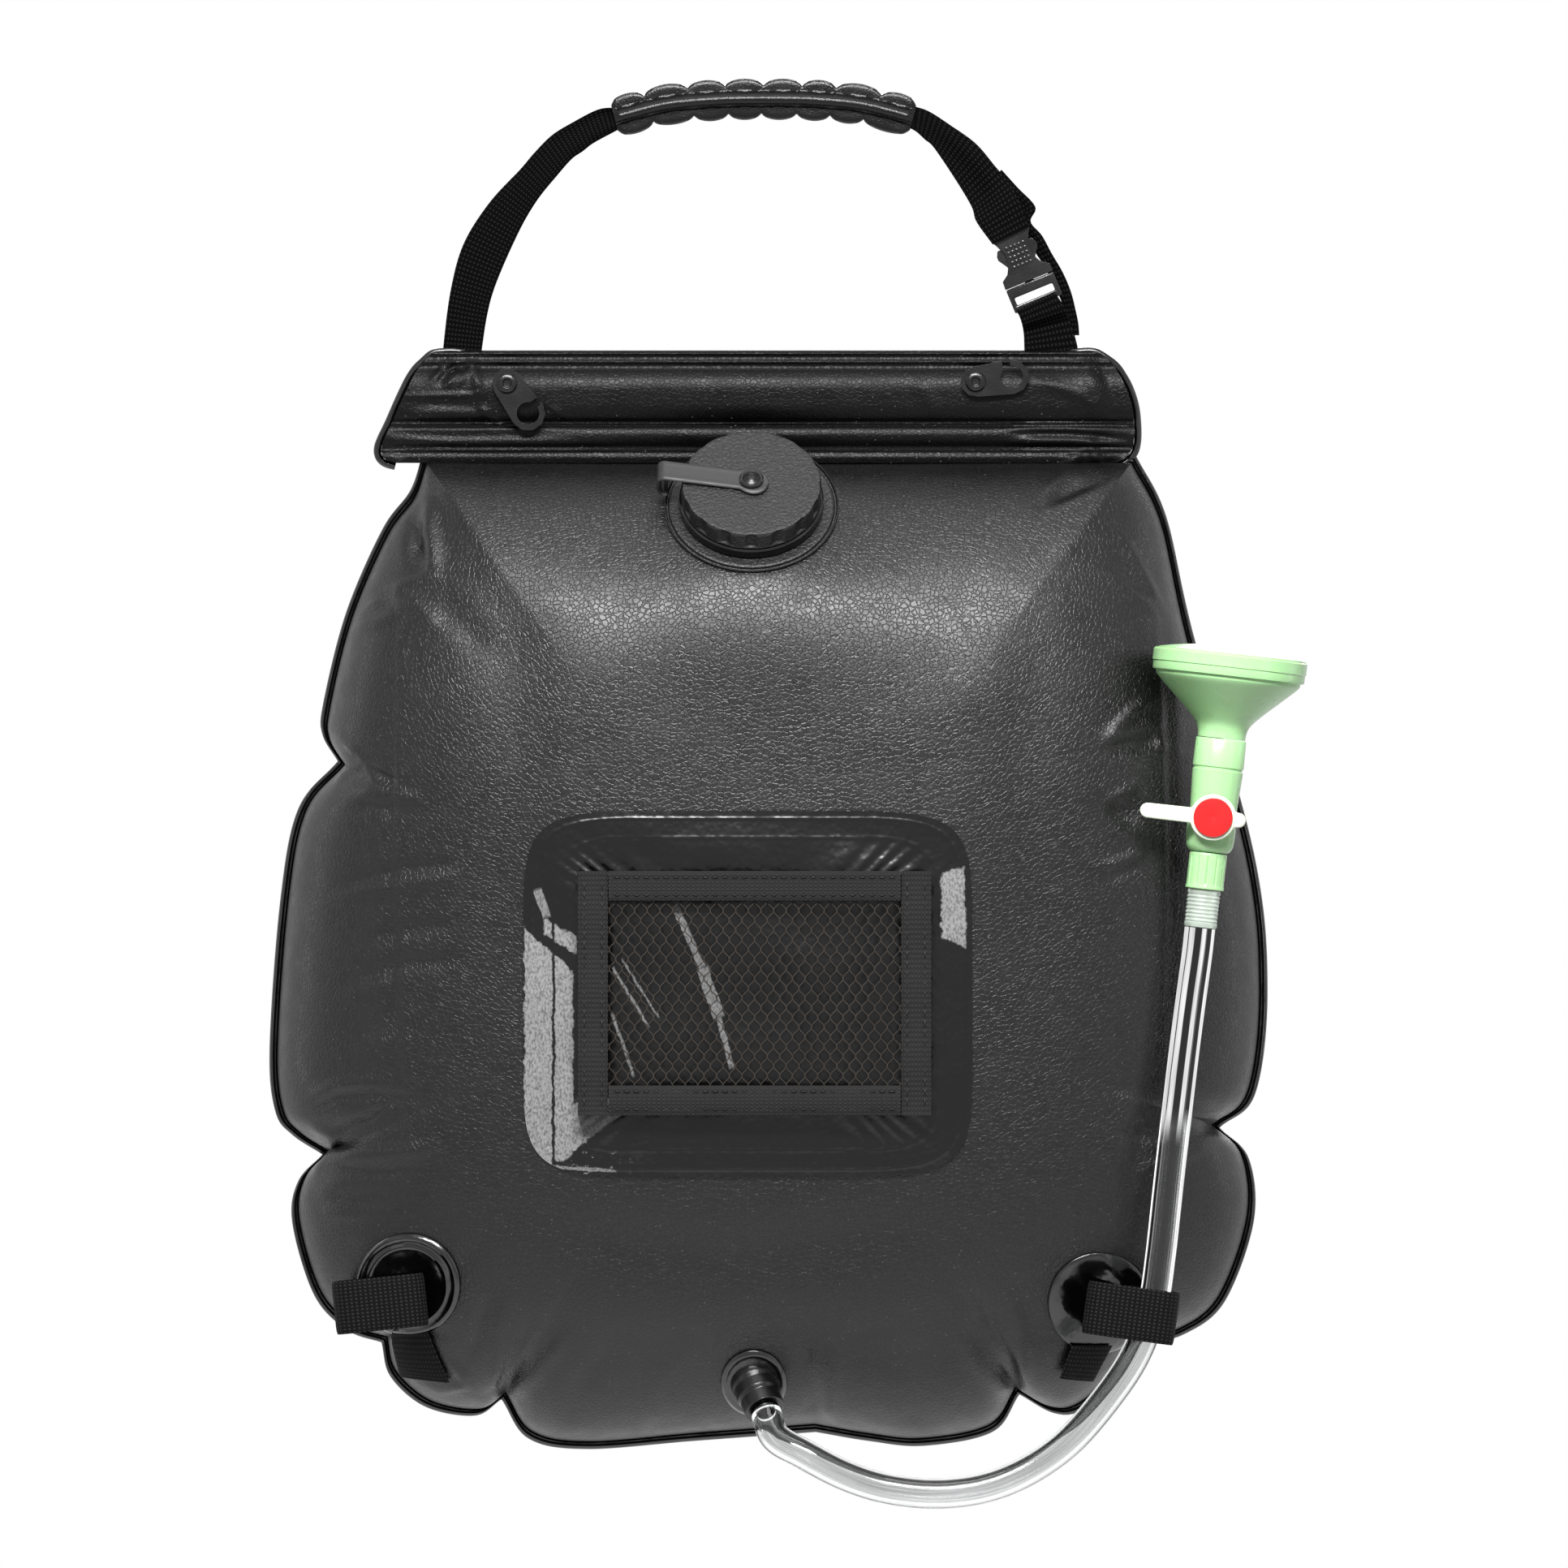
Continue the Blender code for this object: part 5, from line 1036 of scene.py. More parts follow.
# %% Lever, plug and disc
def make_lever():
    hub = HEAD @ Matrix.Translation((0, 0, VALVE_LOW + HUB_HEIGHT)) @ Matrix.Rotation(math.pi / 2, 4, "X")
    front_of_plug = 0.0106 + GAP
    spun("plug_collar", [(0, front_of_plug), (0.0068, front_of_plug), (0.0068, -0.0078), (0, -0.0078)],
         CREAM,
         "valve_lever", ("valve_plug",), hub, 0.0005)
    low = front_of_plug + GAP
    arm = 0.0031
    right = np.linspace(math.pi + 0.34, math.tau - 0.34, 24)
    left = np.linspace(0.34, math.pi - 0.34, 24)
    arcs = [0.0095 * joined(np.cos(turn), np.sin(turn)) for turn in (right, left)]
    bend = np.linspace(-math.pi / 2, math.pi / 2, 9)
    tail = joined(0.0135 - arm + arm * np.cos(bend), arm * np.sin(bend))
    tip = joined(-0.0300 + arm - arm * np.cos(bend), -arm * np.sin(bend))
    outline = np.vstack([arcs[0], tail, arcs[1], tip])
    slab("lever", outline, low, low + 0.0030, CREAM, "valve_lever", ("valve_lever",), hub, 0.0008)
    foot = low + 0.0030 + GAP
    spun("disc", [(0, foot + 0.0008), (0.0080, foot + 0.0008), (0.0080, foot), (0, foot)], RED,
         "valve_lever",
         ("lever_disc",), hub, 0.0003)


make_lever()

# %% [markdown]
# A flexible sheet shows where it is pulled: ridges and valleys run in from each pinch of the seam. They
# are read from the photograph as lines with a width in pixels and a height in millimetres. A line's
# cross-section is a bell curve, and it fades at both ends. Their sum moves the panel along its own
# normal.

# %% Creases
CREASES = (
    # left shoulder
    (((481, 566), (516, 601), (529, 629), (534, 673), (536, 711)), 9, 3.4),
    (((468, 590), (498, 622), (512, 652), (516, 700)), 8, -5.0),
    (((536, 711), (512, 719), (494, 724), (491, 736), (502, 744)), 6, 1.6),
    (((495, 745), (496, 795), (494, 897), (493, 974), (495, 1100), (500, 1288), (508, 1488)), 3.5, 0.7),
    (((484, 760), (485, 900), (484, 1100), (490, 1290), (498, 1480)), 6, -0.7),
    (((495, 650), (522, 624)), 6, -1.6),
    (((509, 668), (529, 657)), 5, 1.2),
    (((499, 754), (463, 770), (430, 775)), 6, 1.5),
    (((473, 741), (442, 757), (420, 760)), 5, 1.2),
    (((496, 729), (542, 777)), 9, 1.6),
    (((540, 735), (600, 800)), 16, -1.2),
    # left pinch, upper
    (((424, 912), (442, 931), (463, 957), (479, 967)), 5, 2.0),
    (((420, 922), (455, 945), (493, 968)), 5, -2.2),
    (((436, 978), (481, 976), (520, 985)), 8, 2.0),
    (((438, 992), (500, 998)), 7, -1.6),
    (((418, 941), (442, 943), (412, 963)), 4, 1.4),
    (((424, 1088), (483, 1073), (560, 1062)), 7, -1.3),
    (((420, 1104), (483, 1091), (565, 1078)), 7, 1.2),
    (((450, 1157), (494, 1145), (560, 1138)), 8, -1.2),
    (((432, 1206), (494, 1186), (570, 1180)), 8, -1.3),
    (((430, 1226), (494, 1206)), 8, 1.0),
    (((430, 1290), (520, 1280)), 12, 1.0),
    # left pinch, lower
    (((381, 1367), (416, 1348), (460, 1345), (520, 1352)), 6, -2.0),
    (((385, 1352), (420, 1334), (470, 1330)), 7, 1.4),
    (((404, 1394), (454, 1376), (483, 1354)), 5, -2.0),
    (((384, 1386), (412, 1396), (412, 1415), (377, 1450)), 6, 2.2),
    (((400, 1421), (460, 1419), (540, 1410)), 7, 1.7),
    (((404, 1436), (470, 1440), (520, 1436)), 6, -1.6),
    (((393, 1469), (438, 1472), (500, 1468)), 8, -1.0),
    (((393, 1490), (441, 1492), (510, 1490)), 8, 1.0),
    (((430, 1520), (520, 1512)), 10, 0.9),
    # left corner
    (((474, 1647), (520, 1640), (560, 1640)), 6, -1.2),
    (((550, 1668), (572, 1692), (572, 1702), (543, 1711), (511, 1700)), 5, 1.8),
    (((581, 1667), (591, 1638), (596, 1600)), 6, -1.6),
    (((594, 1724), (616, 1708), (640, 1660), (652, 1620)), 8, -2.2),
    (((624, 1720), (660, 1690), (700, 1640)), 8, 1.8),
    (((605, 1716), (612, 1670), (622, 1600)), 7, 1.6),
    # bottom
    (((700, 1760), (720, 1700), (760, 1640)), 12, -1.2),
    (((800, 1760), (810, 1700), (830, 1660)), 12, 1.0),
    (((1005, 1758), (1000, 1700), (985, 1640)), 8, -1.8),
    (((1018, 1755), (1024, 1700), (1030, 1640)), 8, 1.5),
    (((1130, 1770), (1120, 1700), (1100, 1640)), 14, -1.0),
    (((1256, 1712), (1236, 1660), (1205, 1590)), 8, -2.2),
    (((1250, 1720), (1215, 1690), (1180, 1640)), 8, 1.7),
    (((1262, 1706), (1258, 1650), (1245, 1590)), 7, 1.6),
    # right corner and pinch
    (((1400, 1652), (1360, 1620), (1310, 1570)), 9, -1.6),
    (((1406, 1640), (1385, 1590), (1350, 1530)), 8, 1.4),
    (((1498, 1388), (1450, 1396), (1380, 1392)), 7, -2.2),
    (((1498, 1376), (1450, 1368), (1390, 1350)), 7, 1.8),
    (((1500, 1402), (1455, 1420), (1400, 1440)), 8, 1.8),
    (((1420, 1340), (1380, 1480)), 14, -1.0),
    (((1395, 1330), (1360, 1460)), 12, 1.0),
    # right side
    (((1360, 912), (1390, 880), (1417, 862)), 6, 1.9),
    (((1360, 914), (1390, 902), (1424, 890)), 5, 1.6),
    (((1362, 922), (1400, 920), (1425, 908)), 6, -1.8),
    (((1425, 910), (1430, 920), (1458, 925)), 5, 1.3),
    (((1362, 998), (1385, 1000), (1404, 1003)), 14, -2.2),
    (((1362, 990), (1401, 964)), 5, 1.2),
    (((1362, 1008), (1401, 1040)), 5, 1.2),
    (((1355, 1066), (1385, 1060), (1412, 1047)), 6, 1.6),
    (((1362, 1080), (1410, 1064)), 6, -1.2),
    (((1384, 665), (1408, 710), (1432, 754)), 5, 1.4),
    (((1360, 711), (1395, 734), (1426, 756)), 5, 1.3),
    (((1372, 688), (1410, 733)), 6, -1.3),
    (((1424, 760), (1428, 900), (1432, 1100), (1428, 1300)), 4, 0.6),
    (((1436, 780), (1442, 1000), (1440, 1280)), 6, -0.6),
    # under the header, right
    (((1288, 619), (1310, 608), (1345, 592), (1380, 582)), 13, -3.0),
    (((1286, 614), (1308, 588), (1332, 556)), 6, 1.8),
    (((1292, 630), (1345, 606), (1398, 578)), 6, 1.8),
    (((1332, 587), (1341, 594), (1369, 583), (1397, 563)), 5, 1.6),
    (((1338, 537), (1347, 559), (1360, 583)), 6, 1.4),
    # broad swells
    (((560, 640), (700, 760), (760, 900)), 50, 1.0),
    (((1290, 680), (1240, 800), (1230, 900)), 50, 1.0),
    (((620, 700), (650, 960), (600, 1200)), 34, -1.2),
    (((1270, 720), (1260, 980), (1290, 1240)), 34, -1.2),
    (((640, 1500), (900, 1540), (1180, 1500)), 30, -1.4),
    (((640, 1600), (900, 1610), (1180, 1590)), 34, 1.4),
    (((600, 900), (760, 955), (1100, 955), (1280, 900)), 46, -0.7),
    # header
    (((1240, 528), (1300, 527), (1385, 530)), 6, 1.4),
    (((1250, 536), (1320, 536), (1390, 542)), 4, -1.3),
    (((1240, 546), (1310, 546), (1396, 550)), 5, 1.5),
    (((470, 535), (560, 538), (700, 536)), 5, -1.0),
    (((480, 548), (600, 550), (760, 548)), 6, 1.0),
    (((532, 471), (545, 456), (557, 447)), 4, 1.0),
    (((549, 480), (560, 466), (570, 458)), 3.5, 1.0),
    (((562, 478), (574, 462), (584, 447)), 4, 1.1),
    (((540, 474), (551, 460), (563, 450)), 3, -0.9),
    (((581, 446), (586, 464), (592, 488)), 5, 1.4),
    (((500, 490), (540, 489), (592, 488)), 3.5, 0.9),
    (((512, 498), (560, 500), (600, 503)), 7, -0.9),
    (((486, 516), (560, 512), (620, 512)), 7, 0.8),
    (((682, 503), (690, 512), (698, 519)), 3, 1.0),
    (((592, 500), (604, 518), (620, 524)), 3, 1.2),
    (((1130, 470), (1150, 500), (1160, 522)), 5, 0.6),
    (((1330, 432), (1345, 470), (1350, 515)), 8, 0.9),
    (((1352, 440), (1368, 480), (1378, 525)), 6, -0.8),
    (((1262, 470), (1300, 476), (1360, 500)), 7, 0.8),
)

LOWER = 0.8
WIDER = 1.15


def relief(x, z):
    """The sum of the creases at these places, in metres."""
    at_x = column_of(x)
    at_z = np.interp(-z, -np.array(LEVELS), ROWS)
    total = np.zeros_like(at_x)
    for line, width, rise in CREASES:
        ends = np.array(line, float)
        run = run_of(ends)
        nearest = np.full_like(at_x, 1000.0)
        along = np.zeros_like(at_x)
        for a, b, start in zip(ends, ends[1:], run):
            length = np.linalg.norm(b - a)
            step = (b - a) / length
            t = np.clip((at_x - a[0]) * step[0] + (at_z - a[1]) * step[1], 0, length)
            away = np.hypot(at_x - a[0] - step[0] * t, at_z - a[1] - step[1] * t)
            along = np.where(away < nearest, start + t, along)
            nearest = np.minimum(nearest, away)
        fade = np.minimum(1, np.minimum(along, run[-1] - along) / (0.30 * run[-1]) + 0.25)
        total = total + LOWER * rise * fade * bell(nearest / width / WIDER)
    return total / 1000


print(len(CREASES), "creases")

# %% [markdown]
# The bag's two panels are one closed surface: rings from the middle of the front out to the seam and back
# to the middle of the back. Inside the filler's neck the front dips into the bag, so that the bore is
# open when the cap is off.


# %% Bag
FRONT_RINGS = 104
BACK_RINGS = 27
NECK_DIP = 0.026
NECK_DIP_RADIUS = 0.0232
BEAD_HALF = 0.0017


def make_bag():
    t = np.linspace(1, 0, FRONT_RINGS)
    share = (1 - t**2)[:, None]
    angle = SEAM_ANGLE[None]
    x, z = ring_spots(share, angle)
    y = front_at(x, z, share) * ease((1 - share) / 0.0004 + 0.02)
    points = joined(x, y, z)
    around = np.roll(points, -1, axis=1) - np.roll(points, 1, axis=1)
    outward = unit(np.cross(around, np.gradient(points, axis=0)))
    facing_front = np.sign(outward[..., 1:2].mean() * -1)
    stand = relief(x, z) * ease((1 - share) / 0.05)
    away = neck_distance(x, z)
    stand = stand * ease((away - FLANGE_RADIUS) / 0.006)
    points = points + outward * facing_front * stand[..., None]
    inward = np.array([0, math.sin(math.pi / 2 - NECK_TILT), -math.cos(math.pi / 2 - NECK_TILT)])
    points = points + inward * (NECK_DIP * ease((NECK_DIP_RADIUS - away) / 0.0030))[..., None]
    t = np.linspace(0, 1, BACK_RINGS)[1:]
    share = (1 - t**2)[:, None]
    x, z = ring_spots(share, angle)
    y = crown(share) + 0 * x
    sway = 0.0016 * np.sin(angle * 9 + 2 * np.sin(angle * 2)) * share**8 * (1 - share) * 12
    back = joined(x, y - sway, z)
    return surface("bag_body", np.vstack([points, back]), SHEET, "bag", ("front_panel", "back_panel"),
                   around=True)


def make_piping():
    """A glossy double bead round the whole seam."""
    around = joined(np.cos(SEAM_ANGLE), np.sin(SEAM_ANGLE))
    share = crowded(13)
    half = BEAD_HALF * np.sqrt(np.maximum(np.sin(share * math.pi), 0.0))
    half = half * (1 - 0.45 * bell((share - 0.58) / 0.09))
    inset = np.concatenate([share, share[::-1][1:-1]]) * (PIPING_WIDTH + 0.0003)
    depth = np.concatenate([-half, half[::-1][1:-1]])
    at = CENTRE + around[:, None] * (SEAM_REACH[:, None, None] - inset[None, :, None])
    grid = joined(at[..., 0], np.broadcast_to(depth, at.shape[:2]), at[..., 1])
    return surface("seam_bead", grid, TRIM, "bag", ("seam_piping",), around=True, along=True)


make_bag()
make_piping()

# %% [markdown]
# The header is a flap of two sheets with a rod in the tunnel between them. Its section down its height is
# a table of levels and depths: a sewn edge, two ridges, the round tunnel, and the seams above the bag. It
# is one closed sleeve whose two ends carry the same glossy piping as the bag.

# %% Header
RIDGE_DEPTH = 0.0060
HEADER_OVERLAP = 0.0032
HEADER_FRONT = 0.0067
PROFILE = (
    (0.00, 0.20), (0.015, 0.38), (0.03, 0.44), (0.055, 0.30), (0.085, 0.36), (0.105, 0.46), (0.13, 0.32),
    (0.16, 0.36),
    (0.185, 0.52), (0.21, 0.68), (0.26, 0.88), (0.33, 1.00), (0.42, 1.00), (0.52, 0.94), (0.60, 0.72),
    (0.635, 0.46),
    (0.655, 0.52), (0.67, 0.44), (0.70, 0.66), (0.75, 0.76), (0.80, 0.68), (0.84, 0.50), (0.86, 0.40),
    (0.885, 0.54),
    (0.91, 0.50), (0.95, 0.58), (1.00, 0.50),
)
LEFT_EDGE = ((430, 562), (433, 545), (437, 532), (447, 522), (460, 512), (490, 497), (524, 482),
             (545, 472), (556, 469),
             (564, 471), (569, 477), (572, 488))
RIGHT_EDGE = ((430, 1330), (434, 1348), (440, 1360), (452, 1373), (466, 1381), (485, 1390), (507, 1396),
              (535, 1398),
              (553, 1396), (563, 1390), (569, 1381), (572, 1368))


def header_edge(table, levels):
    at = spots([(px, py) for py, px in table])
    return np.interp(-levels, -at[:, 1], at[:, 0])


def make_header():
    shares = np.array(PROFILE)
    down = np.linspace(0, 1, 96)
    levels = HEADER_TOP - (HEADER_HEIGHT + HEADER_OVERLAP) * down
    depth = smooth(shares, 400)
    depth = np.interp(down, depth[:, 0], depth[:, 1]) * RIDGE_DEPTH
    left, right = header_edge(LEFT_EDGE, levels), header_edge(RIGHT_EDGE, levels)
    turn = crowded(220)
    x = left + (right - left) * turn[:, None]
    z = levels + 0 * x
    puff = 0.82 + 0.18 * ease(np.minimum(turn, 1 - turn) / 0.05)[:, None]
    wave = 0.00012 * np.sin(x * 120 + z * 90) * np.sin(x * 57 + 1.3)
    near = np.maximum(-(depth * puff) - np.maximum(relief(x, z), -0.0012) - wave, -HEADER_FRONT)
    far = depth * puff + wave
    front_face = joined(x, near, z)
    back_face = joined(x, far, z)[:, ::-1]
    grid = np.concatenate([front_face, back_face], axis=1)
    surface("header_sleeve", grid, SHADED_HEADER_SHEET, "bag", ("header_front", "header_back"), around=True, ends=True)
    for name, table, side in (("left", LEFT_EDGE, -1), ("right", RIGHT_EDGE, 1)):
        edge = smooth(spots([(945 + side * 360, 438)] + [(px, max(py, 434)) for py, px in table]), 120)
        way = unit(np.gradient(edge, axis=0))
        out = 0.0014 * ease((np.linspace(0, 1, 120) - 0.22) / 0.25)[:, None]
        edge = edge + side * out * joined(-way[:, 1], way[:, 0])
        path = joined(edge[:, 0], 0 * edge[:, 0], edge[:, 1])
        beads = tube_grid(path, 0.0015, 16, (1.0, 0.0, 0.0))
        surface(f"header_{name}_bead", beads, TRIM, "bag", (f"header_{name}_piping",), around=True,
                ends=True)


make_header()

# %% [markdown]
# Webbing is a band between two edges. Its section is a flat rounded strip with a slightly thicker woven
# edge, and its UV runs in metres, which keeps the weave at its real size along every bend. The same band
# makes the handle's straps, the tail and the pocket's top binding.


# %% Bands
def band_grid(first, second, depth, thickness=WEBBING, columns=14, hump=0.0):
    """Closed sections between two edges in X and Z, with their middle at this depth. hump is a wave of the
    band across its width."""
    width = crowded(columns)
    half = thickness / 2 * strip_edge(2 * width - 1)
    half = half * (1 + 0.16 * bell((np.abs(2 * width - 1) - 0.86) / 0.08))
    across_band = np.concatenate([width, width[::-1]])
    side = np.concatenate([-half, half[::-1]])
    at = first[:, None] + (second - first)[:, None] * across_band[None, :, None]
    lift = np.asarray(hump, float).reshape(-1, 1) * np.sin(across_band * math.tau)[None]
    y = np.asarray(depth, float).reshape(-1, 1) + side[None] + lift
    return joined(at[..., 0], np.broadcast_to(y, at.shape[:2]), at[..., 1])


LEFT_OUTER = ((764, 134), (738, 136), (706, 152), (680, 168), (658, 190), (641, 210), (603, 251),
              (571, 302), (555, 360), (546, 430), (546, 450))
LEFT_INNER = ((768, 158), (753, 166), (731, 178), (718, 188), (705, 197), (688, 216), (660, 251),
              (635, 296), (606, 366), (594, 430), (594, 450))
RIGHT_INNER = ((1118, 158), (1129, 164), (1140, 174), (1151, 184), (1178, 224), (1197, 256), (1203, 275),
               (1223, 303))
RIGHT_OUTER = ((1118, 132), (1132, 134), (1147, 140), (1170, 155), (1202, 178), (1226, 206), (1250, 236),
               (1268, 281))
LOWER_INNER = ((1252, 384), (1257, 394), (1261, 410), (1262, 430), (1262, 450))
LOWER_OUTER = ((1299, 361), (1309, 376), (1319, 398), (1328, 430), (1328, 450))
TAIL_INNER = ((1224, 222), (1243, 244), (1258, 259), (1251, 273), (1260, 290), (1272, 307), (1286, 328),
              (1298, 351),
              (1308, 373), (1313, 395), (1316, 414))
TAIL_OUTER = ((1234, 210), (1254, 232), (1276, 256), (1270, 274), (1284, 291), (1296, 313), (1310, 337),
              (1320, 361),
              (1326, 385), (1329, 400), (1330, 414))
FOLD_START = (0, 0, HINGE_Z + 0.0045)
FOLD_END = (0, 0, HINGE_Z - 0.0050)
OVER_BAR = 0.0046
TAIL_DEPTH = 0.0051


def make_straps():
    """The handle's webbing. The two lower ends bend between the handle and the bag."""
    gather = np.linspace(1, 0, 90)
    left = band_grid(smooth(spots(LEFT_OUTER), 90), smooth(spots(LEFT_INNER), 90), 0.0012 * gather**3,
                     hump=0.0024 * gather**5)
    made = surface("left_webbing", left, CLOTH, None, ("left_strap", "left_strap_anchor"), around=True,
                   ends=True)
    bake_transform(made, "handle", "bag", FOLD_START, FOLD_END)
    over_bar = -OVER_BAR * ease((0.42 - np.linspace(0, 1, 40)) / 0.16)
    lower = band_grid(smooth(spots(LOWER_INNER), 40), smooth(spots(LOWER_OUTER), 40), over_bar)
    made = surface("lower_webbing", lower, CLOTH, None, ("lower_strap", "right_strap_anchor"), around=True,
                   ends=True)
    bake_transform(made, "handle", "bag", FOLD_START, FOLD_END)
    fold = np.linspace(0, 1, 60)
    over_bar = -OVER_BAR * ease((fold - 0.68) / 0.16)
    right = band_grid(smooth(spots(RIGHT_INNER), 60), smooth(spots(RIGHT_OUTER), 60), over_bar,
                      hump=0.0014 * np.sin(fold * math.pi) ** 2)
    made = surface("right_webbing", right, CLOTH, None, ("right_strap",), around=True, ends=True)
    first, last = put([(0, 0.008, 0), (0, -0.0005, 0)], buckle_place())
    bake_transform(made, "handle", "buckle_socket", first.tolist(), last.tolist())
    tail = band_grid(smooth(spots(TAIL_INNER), 60), smooth(spots(TAIL_OUTER), 60), TAIL_DEPTH,
                     hump=0.0006 * np.sin(fold * math.pi))
    surface("tail_webbing", tail, CLOTH, "handle", ("strap_tail",), around=True, ends=True)


def buckle_place():
    x, z = spots((1240, 279))
    return facing(x, 0, z, math.radians(22.4))


make_straps()

# %% [markdown]
# The grip is moulded rubber round the webbing: a round ridge along its middle, with a thin flap above and
# one below it, both scalloped for the fingers. The scallops come from the notches' columns in the
# photograph.


# %% Grip
UPPER_NOTCHES = (756, 798, 849, 894, 941, 988, 1029, 1082, 1126)
LOWER_NOTCHES = (756, 801, 854, 897, 938, 982, 1024, 1067, 1126)
GRIP_HALF = 0.0050
SCALLOP = 0.0035
RIDGE_RADIUS = 0.0034
GRIP_STEPS = 33


def scallop(px, notches):
    """0 at each notch and 1 between two of them, as the root of a half sine."""
    phase = np.interp(px, notches, np.arange(len(notches)))
    return np.abs(np.sin(phase * math.pi)) ** 0.40


def make_grip():
    line = smooth(spots(((757, 147), (820, 131), (885, 125), (941, 124), (1000, 125), (1062, 131),
                         (1125, 147))), 220)
    way = unit(np.gradient(line, axis=0))
    up = joined(-way[:, 1], way[:, 0])
    px = column_of(line[:, 0])
    end = ease(np.minimum(px - 756.0, 1125.5 - px) / 9 + 0.12)
    top, low = ((GRIP_HALF + SCALLOP * scallop(px, notches)) * (0.84 + 0.16 * end)
                for notches in (UPPER_NOTCHES, LOWER_NOTCHES))
    share = np.concatenate([np.linspace(-1, 1, GRIP_STEPS), np.linspace(1, -1, GRIP_STEPS)[1:-1]])
    side = np.concatenate([np.full(GRIP_STEPS, -1.0), np.full(GRIP_STEPS - 2, 1.0)])
    level = np.where(share[None] > 0, top[:, None] * share[None], low[:, None] * share[None])
    ridge = np.sqrt(np.maximum(RIDGE_RADIUS**2 - level**2, 0.0)) * 1.42
    flap = 0.0015 * np.maximum(1 - share[None] ** 12, 0.0) ** 0.5
    depth = np.maximum(ridge, flap) * (0.75 + 0.25 * end[:, None]) * side[None]
    at = line[:, None] + up[:, None] * level[..., None]
    grid = joined(at[..., 0], depth, at[..., 1])
    return surface("grip", grid, RUBBER, "handle", ("grip_sleeve",), around=True, ends=True)


make_grip()

# %% [markdown]
# The buckle's two halves and its prongs keep the CAD shapes, with rounded edges. The socket's middle
# carries a field of small raised pads, as moulded buckles do.


# %% Buckle
def make_buckle():
    softened("buckle_shell", "buckle_socket", BLACK, 0.0006)
    softened("buckle_male", "buckle_plug", BLACK, 0.0006)
    softened("left_prong", "prong_left", BLACK, 0.0003)
    softened("right_prong", "prong_right", BLACK, 0.0003)
    pads = []
    turn = turns(12)
    for row in range(5):
        for column in range(-2, 3):
            level = np.array([0.0, 0.00030, 0.00042])
            reach = np.array([0.00080, 0.00072, 0.00030])
            x = 0.0018 * column + reach[:, None] * np.cos(turn) * 0.9
            y = -0.0090 - 0.0021 * row + reach[:, None] * np.sin(turn)
            pads.append(put(joined(x, y, 0.0034 + level[:, None]), buckle_place()))
    surface("buckle_pads", pads, BLACK, "buckle_socket", around=True, ends=True)


make_buckle()


# %% [markdown]
# Two hooks swivel on rivets in the header. The rivets are spun, with a raised ring on the head.


# %% Clips and rivets
def make_clips():
    for side, pixels, turn in (("left", (625, 474), 35), ("right", (1202, 472), 98)):
        x, z = spots(pixels)
        place = facing(x, 0, z, math.radians(turn))
        softened(f"{side}_hook", f"{side}_clip", BLACK, 0.0007)
        shoulder, low = 0.0063, 0.0070
        top = low + 0.0028
        profile = ((0, top + 0.0007), (0.0014, top + 0.0007), (0.0019, top + 0.0013),
                   (0.0027, top + 0.0013),
                   (0.0036, top + 0.0010), (0.0042, top + 0.0004), (0.0042, top), (0.0018, top),
                   (0.0018, low),
                   (0.0042, low), (0.0042, shoulder), (0, shoulder))
        spun(f"{side}_rivet", profile, BLACK, "bag", (f"{side}_clip_rivet",), place, 0.0002)


make_clips()

# %% [markdown]
# The filler is all round, about an axis that leans up by 41 degrees from the panel's own plane. The cap's
# side has 16 finger grips: its radius dips by 0.3 to 1.1 mm as the angle turns.

# %% Filler
NECK = neck_place()
NECK_RISE = 0.0118
COLLAR_LOW = GAP + 0.0014 + GAP
SKIRT_FOOT = COLLAR_LOW + 0.0045 + GAP
CAP_INSIDE = NECK_RISE + GAP + 0.0012 + GAP
CAP_TOP = CAP_INSIDE + 0.0018
FINGER_GRIPS = 16


def make_tether():
    """An arm from an eye on the cap to a bend past the cap's side, with a short curl at its end."""
    low = CAP_TOP + GAP + 0.0007
    eye, arm = 0.0070, 0.0052
    tip = eye * np.cos(np.linspace(0, math.pi / 2, 14))
    x = np.concatenate([tip, np.linspace(-0.0006, -0.0352, 40)])
    half = np.maximum(np.sqrt(np.maximum(eye**2 - x**2, 0)), np.where(x < 0, arm, 0.0002))
    turn = np.linspace(0, math.pi / 2, 12)[1:]
    bend = joined(-0.0352 - 0.0026 * np.sin(turn), low - 0.0026 * (1 - np.cos(turn)))
    drop = np.array([(-0.0379, low - 0.0045), (-0.0380, low - 0.0070), (-0.0374, low - 0.0090),
                     (-0.0358, low - 0.0100),
                     (-0.0344, low - 0.0094)])
    path = np.vstack([joined(x, np.full_like(x, low)), bend, drop])
    half = np.concatenate([half, np.full(len(path) - len(half), arm)])
    way = unit(np.gradient(path, axis=0))
    out = joined(way[:, 1], -way[:, 0])
    width = crowded(14) * 2 - 1
    thick = 0.0007 * strip_edge(width)
    thick = thick * (1 + 0.35 * bell((np.abs(width) - 0.80) / 0.12))
    section = np.concatenate([width, width[::-1]])
    side = np.concatenate([thick, -thick[::-1]])
    flat = path[:, None] + out[:, None] * side[None, :, None]
    rise = -0.165 * path[:, None, 0] + half[:, None] * section[None]
    grid = joined(flat[..., 0], rise, flat[..., 1])
    return surface("tether", put(grid, NECK), SOFT, "cap_tether", ("cap_tether",), around=True, ends=True)


